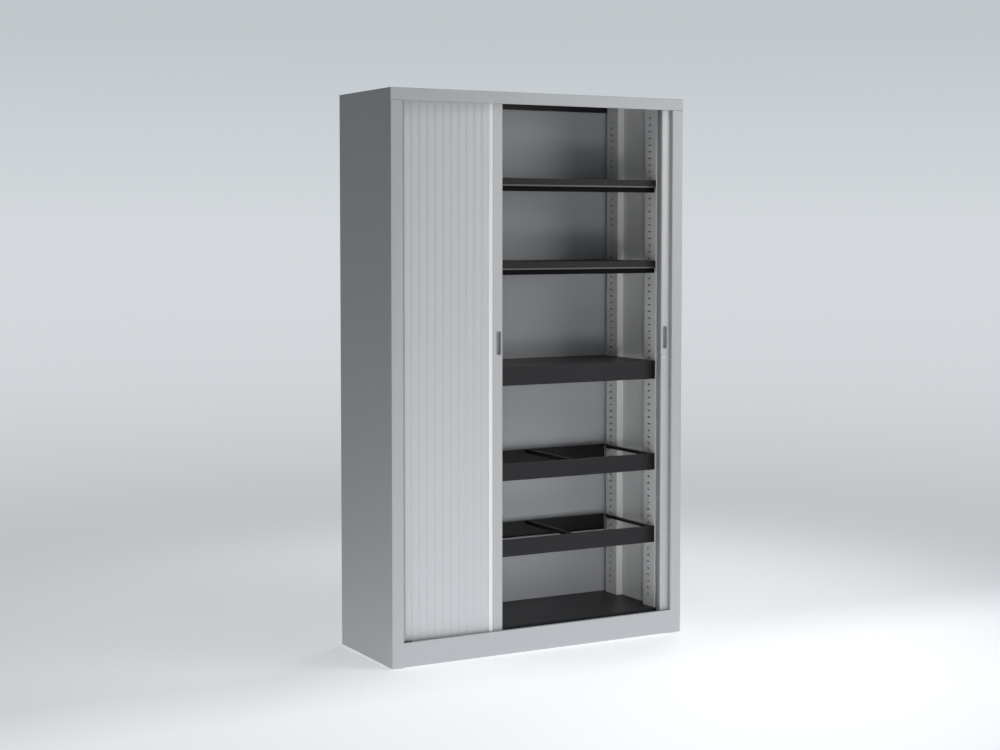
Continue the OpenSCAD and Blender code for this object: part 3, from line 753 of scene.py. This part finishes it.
# %% Fold the filing frames
END_W = 18 * MM
for name in FILING_FRAMES:
    low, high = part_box(name)
    skin_z = high.z - HALF_SHELF
    lip_z = low.z + HALF_SHELF
    mesh = bmesh.new()
    for outer, inward in ((low.y, 1), (high.y, -1)):
        face_y = outer + inward * HALF_SHELF
        lip_y = outer + inward * LIP
        bar = [(lip_y, skin_z), (face_y, skin_z), (face_y, lip_z), (lip_y, lip_z)]
        lay_fold(mesh, bar, SHELF, high.x, bend=TIGHT)
    for sign in (-1, 1):
        leg_x = sign * (high.x - HALF_SHELF)
        angle = [(leg_x, high.z - END_H), (leg_x, skin_z), (sign * (high.x - END_W), skin_z)]
        fold(mesh, angle, SHELF, along_y, low.y + LIP, high.y - LIP, bend=TIGHT)
    dress(mesh_data(name + "_bars", mesh, shelf_paint), "carcass", "shelf_paint", name)

# %% Fold the file rails under the top
low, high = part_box("file_rails")
mesh = bmesh.new()
leg_low = low.z + HALF_SHEET
for tip_y, inward in ((low.y, 1), (high.y, -1)):
    leg_y = tip_y + inward * (LIP + HALF_SHEET)
    lay_fold(mesh, [(leg_y, high.z), (leg_y, leg_low), (tip_y, leg_low)], SHEET, high.x, bend=1.4 * MM)
dress(mesh_data("file_rail_angles", mesh, shelf_paint), "carcass", "shelf_paint", "file_rails")

# %% [markdown]
# ## Copies on points
# Cross bars, shelf supports, rivets and glides are each one shape in several places. The tree takes the
# places as the points of its start mesh and the shape as an object, and sets one copy on every point.

# %% The copying tree
copy_inputs = {"Places": "Geometry", "Shape": "Object", "Finish": "Material"}
copy_tree, given = new_tree("copy_on_points", copy_inputs)
places = given["Places"]
shape = places.node("GeometryNodeObjectInfo", {"Object": given["Shape"]}, output="Geometry")
copies = places.node("GeometryNodeInstanceOnPoints", {"Points": places, "Instance": shape})
end_tree(copies, given["Finish"])


def set_out(name, shape_mesh, spots, finish, slot, node):
    """One piece made of copies of a shape, which stands for a CAD node of the carcass."""
    pattern = new_object(name + "_pattern", mesh_data(name + "_pattern", shape_mesh, finish))
    marks = bpy.data.meshes.new(name + "_places")
    marks.from_pydata(spots, [], [])
    data = realise(name, marks, copy_tree, {"Shape": pattern, "Finish": finish})
    bpy.data.objects.remove(pattern)
    dress(data, "carcass", slot, node)


# %% Cross bars of the filing frames
BAR_W = 12 * MM
BAR_H = 15 * MM
BAR = 1.5 * MM
low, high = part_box("frame_cross_bars")
mesh = bmesh.new()
leg = BAR_W / 2 - BAR / 2
channel = [(-leg, -BAR_H), (-leg, -BAR / 2), (leg, -BAR / 2), (leg, -BAR_H)]
fold(mesh, channel, BAR, along_y, low.y, high.y, bend=TIGHT)
bar_tops = (high.z, low.z + BAR_H)
bar_x = (low.x + BAR_W / 2, high.x - BAR_W / 2)
spots = [(x, 0, z) for x in bar_x for z in bar_tops]
set_out("cross_bars", mesh, spots, shelf_paint, "shelf_paint", "frame_cross_bars")

# %% Shelf supports
SUPPORT = 4 * MM
SUPPORT_W = 14 * MM
SUPPORT_H = 14 * MM
SUPPORT_REACH = 19.5 * MM
SUPPORT_BEND = 2.6 * MM
low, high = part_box("shelf_supports")
carried = PLAIN_SHELVES + ("lower_shelf",) + FILING_FRAMES
mesh = bmesh.new()
for sign in (-1, 1):
    catch_x = sign * (high.x - SUPPORT / 2)
    tip_x = sign * (high.x - SUPPORT_REACH)
    tab = [(catch_x, -SUPPORT_H), (catch_x, -SUPPORT / 2), (tip_x, -SUPPORT / 2)]
    for row_name in ("front", "rear"):
        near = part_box(f"{row_name}_uprights")[0].y + SLOT_INSET - SUPPORT_W / 2
        fold(mesh, tab, SUPPORT, along_y, near, near + SUPPORT_W, SUPPORT_BEND)
spots = [(0, 0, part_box(name)[1].z - END_H) for name in carried]
set_out("support_tabs", mesh, spots, steel_finish, "bright_steel", "shelf_supports")

# %% [markdown]
# Rivets and glides are turned shapes, so they are lofts through circles. A rivet has a low dome inside the
# cabinet and a hollow tail at the back, as a blind rivet does.


# %% Rivets in the back
def turned(mesh, stations, place, steps=24, centre=(0, 0), hollow=False):
    """A turned solid from (distance along the axis, radius) pairs."""
    rings = []
    for reach, radius in stations:
        rings.append([place(point, reach) for point in circle(centre, radius, steps)])
    loft(mesh, rings, hollow)


HEAD = 1.6 * MM
HEAD_R = 4 * MM
SHANK_R = 2 * MM
TAIL = 3.6 * MM
HOLLOW = 1.4 * MM
RIVET_ROWS = 6
mesh = bmesh.new()
angles = [math.radians(degrees) for degrees in (14, 32, 50, 68, 84)]
dome = [(HEAD * (1 - math.cos(angle)), HEAD_R * math.sin(angle)) for angle in angles]
tail = [(HEAD, HEAD_R), (HEAD, SHANK_R), (TAIL, SHANK_R), (TAIL, 0.9 * MM), (TAIL - HOLLOW, 0.8 * MM)]
turned(mesh, dome + tail, along_y)
low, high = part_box("back_rivets")
rivet_span = RAIL_LOW - SHEET - PLINTH_TOP
rivet_z = [PLINTH_TOP + rivet_span * (n + 0.5) / RIVET_ROWS for n in range(RIVET_ROWS)]
spots = [(x, low.y, z) for x in (low.x + HEAD_R, high.x - HEAD_R) for z in rivet_z]
set_out("rivets", mesh, spots, steel_finish, "bright_steel", "back_rivets")

# %% Glides under the base
low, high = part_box("base_glides")
GLIDE_R = 12 * MM
glide_h = high.z - low.z
mesh = bmesh.new()
sole = [(0.8 * MM, 3 * MM), (0, 4 * MM), (0, GLIDE_R - 1.2 * MM), (0.3 * MM, GLIDE_R - 0.4 * MM)]
turned(mesh, sole + [(0.9 * MM, GLIDE_R), (glide_h, GLIDE_R)], along_z, steps=40)
glide_x = (low.x + GLIDE_R, high.x - GLIDE_R)
glide_y = (low.y + GLIDE_R, high.y - GLIDE_R)
spots = [(x, y, low.z) for x in glide_x for y in glide_y]
set_out("glides", mesh, spots, track_finish, "track_plastic", "base_glides")

# %% [markdown]
# ## Slats
# A slat is a long strip with a crowned face and thin edges, and it stands at a slight slope so that it can
# slide behind its neighbour. The edge that shows is tucked in towards the next slat. Crown and tuck make the
# soft ripple of light across the curtain. The rule for the cut is a bent lens, so a tree makes it: a circle
# whose points are pushed to width and thickness, swept up a line. Every slat is a body of its own, and gets
# its own mesh.

# %% The slat tree
slat_sizes = ("Width", "Thickness", "Crown", "Tuck", "Tucked side", "Length", "Slope")
slat_inputs = dict.fromkeys(slat_sizes, "Float") | {"Foot": "Vector", "Finish": "Material"}
slat_tree, given = new_tree("crowned_slat", slat_inputs)
width = given["Width"]
ring = width.node("GeometryNodeCurvePrimitiveCircle", {"Resolution": 56, "Radius": 1.0}, {"mode": "RADIUS"})
spot = width.node("ShaderNodeSeparateXYZ", {"Vector": width.node("GeometryNodeInputPosition")})
across = spot.output("X")
through = spot.output("Y")
bulge = through.math("SIGN", through) * through.math("ABSOLUTE", through) ** given["Crown"]
TUCK_START = 0.35
lap = through.math("MAXIMUM", across * given["Tucked side"] - TUCK_START, 0.0) / (1 - TUCK_START)
cut_place = vector(width, across * width / 2, bulge * given["Thickness"] / 2 + lap ** 2.0 * given["Tuck"])
cut = width.node("GeometryNodeSetPosition", {"Geometry": ring, "Position": cut_place})
rise = width.node("GeometryNodeCurvePrimitiveLine", {"End": vector(width, z=given["Length"])})
swept = width.node("GeometryNodeCurveToMesh", {"Curve": rise, "Profile Curve": cut, "Fill Caps": True})
stood = {"Geometry": swept, "Translation": given["Foot"], "Rotation": vector(width, z=given["Slope"])}
end_tree(width.node("GeometryNodeTransform", stood), given["Finish"])

# %% Make the slats
SLAT = 2.2 * MM
SLAT_W = 47.208 * MM
SLAT_SLOPE = math.radians(3.317)
slat_nodes = [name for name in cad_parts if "_slat_" in name]
for name in slat_nodes:
    low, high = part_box(name)
    sign = 1 if name.startswith("left") else -1
    values = {
        "Width": SLAT_W,
        "Thickness": SLAT,
        "Crown": 1.5,
        "Tuck": 1.0 * MM,
        "Tucked side": -sign,
        "Length": high.z - low.z,
        "Slope": sign * SLAT_SLOPE,
        "Foot": ((low.x + high.x) / 2, (low.y + high.y) / 2, low.z),
        "Finish": slat_finish,
    }
    data = realise(name + "_strip", bpy.data.meshes.new(name), slat_tree, values)
    dress(data, name, "slat_plastic", name)

# %% [markdown]
# ## Leading rails
# Each curtain ends in an aluminium extrusion: a flat face with a rounded leading edge, a hollow box behind
# it, and a bead in a groove near the edge next to the slats. The bead has a thin tail that slopes down to
# the slats, so the edge throws no hard shadow on them. Bead and tail are much paler than the rail, a painted
# highlight along the edge. The extrusion is drawn as one outline and carried up the cabinet. Then the
# hollow, the window for the finger cup, the slot for the lock's hook and the lock's hole are cut out of it.


# %% Cut a solid
def carve(name, solid, cutters, finish):
    """A mesh with the cutters' shapes taken out of it."""
    body = new_object(name, mesh_data(name + "_blank", solid, finish))
    helpers = []
    for number, shape in enumerate(cutters):
        helper = new_object(f"cutter_{number}", mesh_data(f"cutter_{number}", shape, finish))
        helpers.append(helper)
        modifier = body.modifiers.new(f"cut_{number}", "BOOLEAN")
        modifier.operation = "DIFFERENCE"
        modifier.solver = "EXACT"
        modifier.object = helper
    made = plain_mesh(name, body)
    for helper in helpers + [body]:
        bpy.data.objects.remove(helper)
    return made


# %% Outline of a rail
RAIL_W = 50 * MM
FACE = 2 * MM
BOX_W = 28 * MM
NOSE = 5.5 * MM
HOLD = 0.4 * MM
BOX_CORNER = 1.2 * MM
BOX_CHAMFER = 0.35 * MM
BEAD_W = 6.5 * MM
BEAD_GAP = 0.1 * MM
GROOVE = 0.6 * MM
rail_face_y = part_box("left_rail_ends")[0].y
box_back_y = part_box("left_rail_ends")[1].y
box_d = box_back_y - rail_face_y


def rail_outline(edge, way):
    """The extrusion's outline, from its leading edge back to the bead. way is the direction to the bead."""
    arc = [math.radians(90) * step / 8 for step in range(9)]
    nose = [(NOSE - NOSE * math.cos(angle), NOSE - NOSE * math.sin(angle)) for angle in arc]
    groove_x = RAIL_W - BEAD_W - BEAD_GAP
    flange = [(NOSE + HOLD, 0), (groove_x, 0), (groove_x, GROOVE), (RAIL_W, GROOVE), (RAIL_W, FACE)]
    flange += [(BOX_W + HOLD, FACE), (BOX_W, FACE + HOLD)]
    corner = [(0, BOX_CORNER), (BOX_CHAMFER, BOX_CHAMFER), (BOX_CORNER, 0), (BOX_CORNER + HOLD, 0)]
    back = [(BOX_W - a, box_d - b) for a, b in corner] + [(a, box_d - b) for a, b in reversed(corner)]
    outline = nose + flange + back + [(0, NOSE + HOLD)]
    return [Vector((edge + way * a, rail_face_y + b)) for a, b in outline]


print("points round a rail:", len(rail_outline(0, 1)))

# %% What is cut out of a rail
WALL = 1.6 * MM
CUT_PAST = 1 * MM
FIT_GAP = 0.2 * MM
CUP_W = 17 * MM
CUP_H = 83 * MM
CUP_INSET = 8.5 * MM
CUP_RADIUS = 4 * MM
HOOK_GAP = 0.4 * MM
HOOK_BELOW = 10.4 * MM
HOOK_ABOVE = 27.9 * MM
cup_low, cup_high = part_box("left_handle")
cup_z = (cup_low.z + cup_high.z) / 2
hook_low, hook_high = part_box("lock_hook")
lock_low, lock_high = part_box("lock_housing")
lock_x = (lock_low.x + lock_high.x) / 2
lock_z = (lock_low.z + lock_high.z) / 2
print("heights in metres: cup", round(cup_z, 4), "lock", round(lock_z, 4))


def rail_cutters(edge, way, bottom, top):
    """The hollow, the window for the cup and the slot for the hook, one after the other."""
    hollow_x = sorted((edge + way * WALL, edge + way * (BOX_W - WALL)))
    hollow = rounded((hollow_x[0], rail_face_y + FACE), (hollow_x[1], box_back_y - WALL), 1.2 * MM)
    yield new_prism(hollow, along_z, bottom - CUT_PAST, top + CUT_PAST)
    cup_x = sorted((edge + way * (CUP_INSET - FIT_GAP), edge + way * (CUP_INSET + CUP_W + FIT_GAP)))
    half = CUP_H / 2 + FIT_GAP
    window = rounded((cup_x[0], cup_z - half), (cup_x[1], cup_z + half), CUP_RADIUS + FIT_GAP)
    yield new_prism(window, along_y, rail_face_y - CUT_PAST, rail_face_y + FACE + CUT_PAST)
    near, far = hook_low.y - HOOK_GAP, hook_high.y + HOOK_GAP
    slot_low, slot_high = lock_z - HOOK_BELOW, lock_z + HOOK_ABOVE
    slot = [(near, slot_low), (far, slot_low), (far, slot_high), (near, slot_high)]
    wall_x = sorted((edge - way * CUT_PAST, edge + way * (WALL + CUT_PAST / 2)))
    yield new_prism(slot, along_x, wall_x[0], wall_x[1])


# %% Outline of a bead
BEAD_H = 1.4 * MM
TAIL_W = 6 * MM
TAIL_TIP = (3.2 * MM, 3.4 * MM)
TAIL_ROOT = 1.4 * MM


def bead_outline(edge, way):
    """The bead: round in front, flat in its groove, with a tail that reaches down to the slats."""
    centre = RAIL_W - BEAD_W / 2
    arc = [math.radians(180) * step / 14 for step in range(15)]
    front = [(centre - math.cos(a) * BEAD_W / 2, -math.sin(a) * BEAD_H) for a in arc]
    seat = GROOVE - BEAD_GAP
    root = RAIL_W + 3 * BEAD_GAP
    tail = [(RAIL_W + TAIL_W, depth) for depth in TAIL_TIP]
    tail += [(root, TAIL_ROOT), (root, seat), (RAIL_W - BEAD_W, seat)]
    return [Vector((edge + way * a, rail_face_y + b)) for a, b in front + tail]


print("points round a bead:", len(bead_outline(0, 1)))

# %% Make the rails and beads
LOCK_R = 8.5 * MM
RAIL_PARTS = ("ends", "grip", "flange")
leading_edge = {"left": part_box("left_rail_ends")[1].x, "right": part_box("right_rail_ends")[0].x}
for side, way in (("left", -1), ("right", 1)):
    edge = leading_edge[side]
    low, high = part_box(f"{side}_rail_ends")
    solid = new_prism(rail_outline(edge, way), along_z, low.z, high.z)
    cutters = list(rail_cutters(edge, way, low.z, high.z))
    if side == "right":
        hole = circle((lock_x, lock_z), LOCK_R + FIT_GAP)
        cutters.append(new_prism(hole, along_y, rail_face_y - CUT_PAST, rail_face_y + FACE + CUT_PAST))
    data = carve(f"{side}_leading_rail", solid, cutters, rail_finish)
    nodes = [f"{side}_rail_{part}" for part in RAIL_PARTS]
    dress(data, f"{side}_shutter_rail", "rail_aluminium", *nodes)
    bead = new_prism(bead_outline(edge, way), along_z, low.z, high.z)
    dress(mesh_data(f"{side}_bead", bead, bead_painted_highlight), f"{side}_shutter_rail", "rail_aluminium")

# %% [markdown]
# ## Finger cups and lock
# A finger cup is a moulded tub with a thin rim that lies on the rail's face. It is lofted from rounded
# rectangles: up the inside from the floor, over the rim, and down the outside. The lock's rim is turned,
# with a shallow dish round the cylinder.


# %% Finger cups
def cup_solid(name, edge, way):
    near, far = sorted((edge + way * CUP_INSET, edge + way * (CUP_INSET + CUP_W)))
    low_z, high_z = cup_z - CUP_H / 2, cup_z + CUP_H / 2
    rim_y, back_y = cup_low.y, cup_high.y
    wall = 1.2 * MM
    rim = 1 * MM

    def ring(inset, depth, radius):
        outline = rounded((near + inset, low_z + inset), (far - inset, high_z - inset), radius)
        return [along_y(point, depth) for point in outline]

    mesh = bmesh.new()
    loft(
        mesh,
        [
            ring(wall + 3.2 * MM, back_y - wall, 0.8 * MM),
            ring(wall + 2.4 * MM, back_y - wall, 1.2 * MM),
            ring(wall + 1.1 * MM, back_y - wall - 0.6 * MM, 1.9 * MM),
            ring(wall + 0.5 * MM, back_y - wall - 1.9 * MM, 2.4 * MM),
            ring(wall, rim_y + 0.9 * MM, CUP_RADIUS - wall),
            ring(wall - 0.3 * MM, rim_y + 0.3 * MM, CUP_RADIUS - wall + 0.3 * MM),
            ring(wall - 0.8 * MM, rim_y, CUP_RADIUS - wall + 0.8 * MM),
            ring(-rim + 0.5 * MM, rim_y, CUP_RADIUS + rim - 0.5 * MM),
            ring(-rim, rim_y + 0.4 * MM, CUP_RADIUS + rim),
            ring(-rim, rail_face_y, CUP_RADIUS + rim),
            ring(0, rail_face_y, CUP_RADIUS),
            ring(0, back_y - 1.5 * MM, CUP_RADIUS),
            ring(1.0 * MM, back_y, CUP_RADIUS - 1 * MM),
        ],
    )
    return mesh_data(name, mesh, cup_finish)


for side, way in (("left", -1), ("right", 1)):
    data = cup_solid(f"{side}_finger_cup", leading_edge[side], way)
    dress(data, f"{side}_shutter_rail", "handle_plastic", f"{side}_handle")

# %% Lock rim
mesh = bmesh.new()
bore = 6.05 * MM
stations = [
    (lock_high.y, bore),
    (lock_low.y + 0.5 * MM, bore),
    (lock_low.y + 0.2 * MM, bore + 0.3 * MM),
    (lock_low.y + 0.35 * MM, bore + 1.2 * MM),
    (lock_low.y, bore + 2.3 * MM),
    (lock_low.y + 0.15 * MM, 9.4 * MM),
    (lock_low.y + 0.6 * MM, 10 * MM),
    (rail_face_y, 10 * MM),
    (rail_face_y, LOCK_R),
    (lock_high.y, LOCK_R),
]
turned(mesh, stations, along_y, steps=48, centre=(lock_x, lock_z), hollow=True)
dress(mesh_data("lock_rim", mesh, rail_finish), "right_shutter_rail", "bright_steel", "lock_housing")

# %% [markdown]
# ## CAD pieces that stay
# Some CAD pieces already have their true shape: the flat back and liners, the shoes in the rails, the strike
# and the lock's cylinder and hook. They keep their meshes and get a finish.

# %% Finish the remaining CAD pieces
kept = {
    "back_panel": carcass_paint,
    "liners": inner_paint_lit,
    "left_rail_shoes": track_finish,
    "right_rail_shoes": track_finish,
    "left_strike": steel_finish,
    "lock_cylinder": steel_finish,
    "lock_hook": steel_finish,
}
for name, finish in kept.items():
    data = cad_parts[name].data
    data.materials.clear()
    data.materials.append(finish)
print("kept CAD pieces:", sorted(kept))

# %% [markdown]
# ## Stage
# The floor is white near the cabinet and fades with distance into the colour of the backdrop, so no horizon
# shows. What the camera and reflections see is set apart from what lights the cabinet: Light Path tells
# them apart. The visible floor is lit and glows a little, more so before the cabinet, which keeps a soft
# shadow on a nearly white floor; far out, where the lamps stand, it takes no light, so their pools do not
# show. The unseen one shines in a pool before the cabinet, as a studio floor does that is lit from outside
# the view.

# %% Colours and shares for the stage
NEAR_WHITE = (0.95, 0.98, 1.0, 1)
BACKDROP = (0.66, 0.69, 0.72, 1)
UPPER_BACKDROP = (0.53, 0.575, 0.595, 1)


def seen(wire):
    """1 for rays from the camera, from reflections and from glass, 0 for rays that carry light."""
    path = wire.node("ShaderNodeLightPath", output="Is Camera Ray")
    either = path.math("MAXIMUM", path, path.output("Is Glossy Ray"))
    return either.math("MAXIMUM", either, path.output("Is Transmission Ray"))


def near_share(distance, half_way, power):
    """1 close by, one half at half_way metres and 0 far out."""
    return 1 / (1 + (distance / half_way) ** power)


# %% Floor finish
floor_finish = bpy.data.materials.new("pale_floor")
wire = blank_tree(floor_finish)
spot = wire.node("ShaderNodeTexCoord", output="Object")
distance = wire.node("ShaderNodeVectorMath", {0: spot}, {"operation": "LENGTH"}, output="Value")
depth = wire.node("ShaderNodeSeparateXYZ", {"Vector": spot}).output("Y")
far_share = 1 - near_share(distance, 4.0, 2.0)
pool = {0: spot, 1: (0.0, -0.8, 0)}
from_pool = wire.node("ShaderNodeVectorMath", pool, {"operation": "DISTANCE"}, output="Value")
bounce_share = 1 - near_share(from_pool, 2.2, 4.0)
lit = wire.node("ShaderNodeBsdfDiffuse", {"Color": (0.88, 0.89, 0.9, 1)})
dim = wire.node("ShaderNodeBsdfDiffuse", {"Color": (0.2, 0.2, 0.21, 1)})
glow = wire.node("ShaderNodeEmission", {"Color": NEAR_WHITE, "Strength": 0.42})
haze = wire.node("ShaderNodeEmission", {"Color": BACKDROP, "Strength": 1.0})
front_glow = wire.node("ShaderNodeEmission", {"Color": NEAR_WHITE, "Strength": 0.62})
glow_share = depth.math("MULTIPLY", depth + 0.1, -2.0, clamp=True)
glow_here = wire.node("ShaderNodeMixShader", {0: glow_share, 1: glow, 2: front_glow})
lit_here = wire.node("ShaderNodeMixShader", {0: near_share(distance, 2.5, 6.0), 2: lit})
near_floor = wire.node("ShaderNodeAddShader", {0: lit_here, 1: glow_here})
shown_floor = wire.node("ShaderNodeMixShader", {0: far_share, 1: near_floor, 2: haze})
shine = wire.node("ShaderNodeEmission", {"Color": NEAR_WHITE, "Strength": 1.01})
bright = wire.node("ShaderNodeAddShader", {0: lit, 1: shine})
bounce_floor = wire.node("ShaderNodeMixShader", {0: bounce_share, 1: bright, 2: dim})
whole_floor = wire.node("ShaderNodeMixShader", {0: seen(wire), 1: bounce_floor, 2: shown_floor})
wire.node("ShaderNodeOutputMaterial", {"Surface": whole_floor})
print("finish pale_floor with", len(floor_finish.node_tree.nodes), "nodes")

# %% Floor
FLOOR_HALF = 300.0
FLOOR_Z = -0.3 * MM
square = ((-1, -1), (1, -1), (1, 1), (-1, 1))
corners = [(x * FLOOR_HALF, y * FLOOR_HALF, FLOOR_Z) for x, y in square]
floor_data = bpy.data.meshes.new("floor")
floor_data.from_pydata(corners, [], [(0, 1, 2, 3)])
floor_data.materials.append(floor_finish)
floor = new_object("floor", floor_data)
print("floor half width in metres:", FLOOR_HALF)

# %% [markdown]
# ## Light and backdrop
# The photograph has a soft light close by on the right, so the front fades from its right edge to its upper
# left corner, and one from above that lays a narrow shadow under the top rail. The left side stands in soft
# shade and takes most of its light from the floor. Those two lamps, a fill near the camera, a low one that
# reaches the foot of the curtain and a grey sky give that. A lamp behind the cabinet on the right serves
# views from there. The visible backdrop is a slow grade from pale to a cooler grey.

# %% World
world = bpy.data.worlds.new("studio")
bpy.context.scene.world = world
wire = blank_tree(world)
direction = wire.node("ShaderNodeTexCoord", output="Generated")
height = wire.node("ShaderNodeSeparateXYZ", {"Vector": direction}).output("Z")
climb = height.math("MULTIPLY", height, 9.0, clamp=True)
backdrop = blend(wire, climb, BACKDROP[:3], UPPER_BACKDROP[:3])
shown_sky = wire.node("ShaderNodeBackground", {"Color": backdrop, "Strength": 1.0})
light_sky = wire.node("ShaderNodeBackground", {"Color": (0.17, 0.175, 0.185, 1), "Strength": 0.5})
sky = wire.node("ShaderNodeMixShader", {0: seen(wire), 1: light_sky, 2: shown_sky})
wire.node("ShaderNodeOutputWorld", {"Surface": sky})
print("world with", len(world.node_tree.nodes), "nodes")


# %% Lamps
def area_lamp(name, spot, aim, size, power, colour):
    lamp = bpy.data.lights.new(name, "AREA")
    lamp.shape = "RECTANGLE"
    lamp.size, lamp.size_y = size
    lamp.energy = power
    lamp.color = colour
    holder = new_object(name, lamp)
    holder.location = spot
    holder.rotation_euler = (Vector(aim) - Vector(spot)).to_track_quat("-Z", "Y").to_euler()
    print("lamp", name, power, "W")


area_lamp("key", (1.6, -1.8, 1.9), (0.2, -0.2, 1.1), (1.2, 1.2), 15.5, (1, 0.99, 0.98))
area_lamp("overhead", (0.2, -1.2, 3.6), (0, -0.2, 0.9), (1.2, 1.0), 15, (0.98, 0.99, 1))
area_lamp("fill", (-2.4, -5.2, 0.9), (-0.2, 0, 0.5), (2.0, 2.0), 36, (0.98, 0.99, 1))
area_lamp("low", (-0.3, -3.2, 0.45), (0, 0, 0.5), (1.6, 0.5), 15, (1, 1, 1))
area_lamp("back", (3.2, 2.6, 2.4), (0.0, 0.1, 0.9), (2.0, 2.0), 45, (1, 1, 1))

# %% [markdown]
# ## Camera
# The camera's place, turn and lens come from a fit of the cabinet's corners to the photograph. A small lens
# shift lets the camera look nearly level, so the upright edges stay nearly upright. A larger one would fit a
# little closer, but would cut off the cabinet's top in views from other sides.

# %% Camera
view = bpy.data.cameras.new("camera")
view.lens = 63.604
view.sensor_width = 36
view.shift_y = -0.05
view.clip_end = 2000
camera = new_object("camera", view)
camera.location = (-3.1852, -5.6597, 1.5167)
camera.rotation_euler = (math.radians(86.913), 0, math.radians(-28.924))
bpy.context.scene.camera = camera
bpy.context.scene.view_settings.view_transform = "Standard"
print("camera at", [round(value, 3) for value in camera.location])

# %% [markdown]
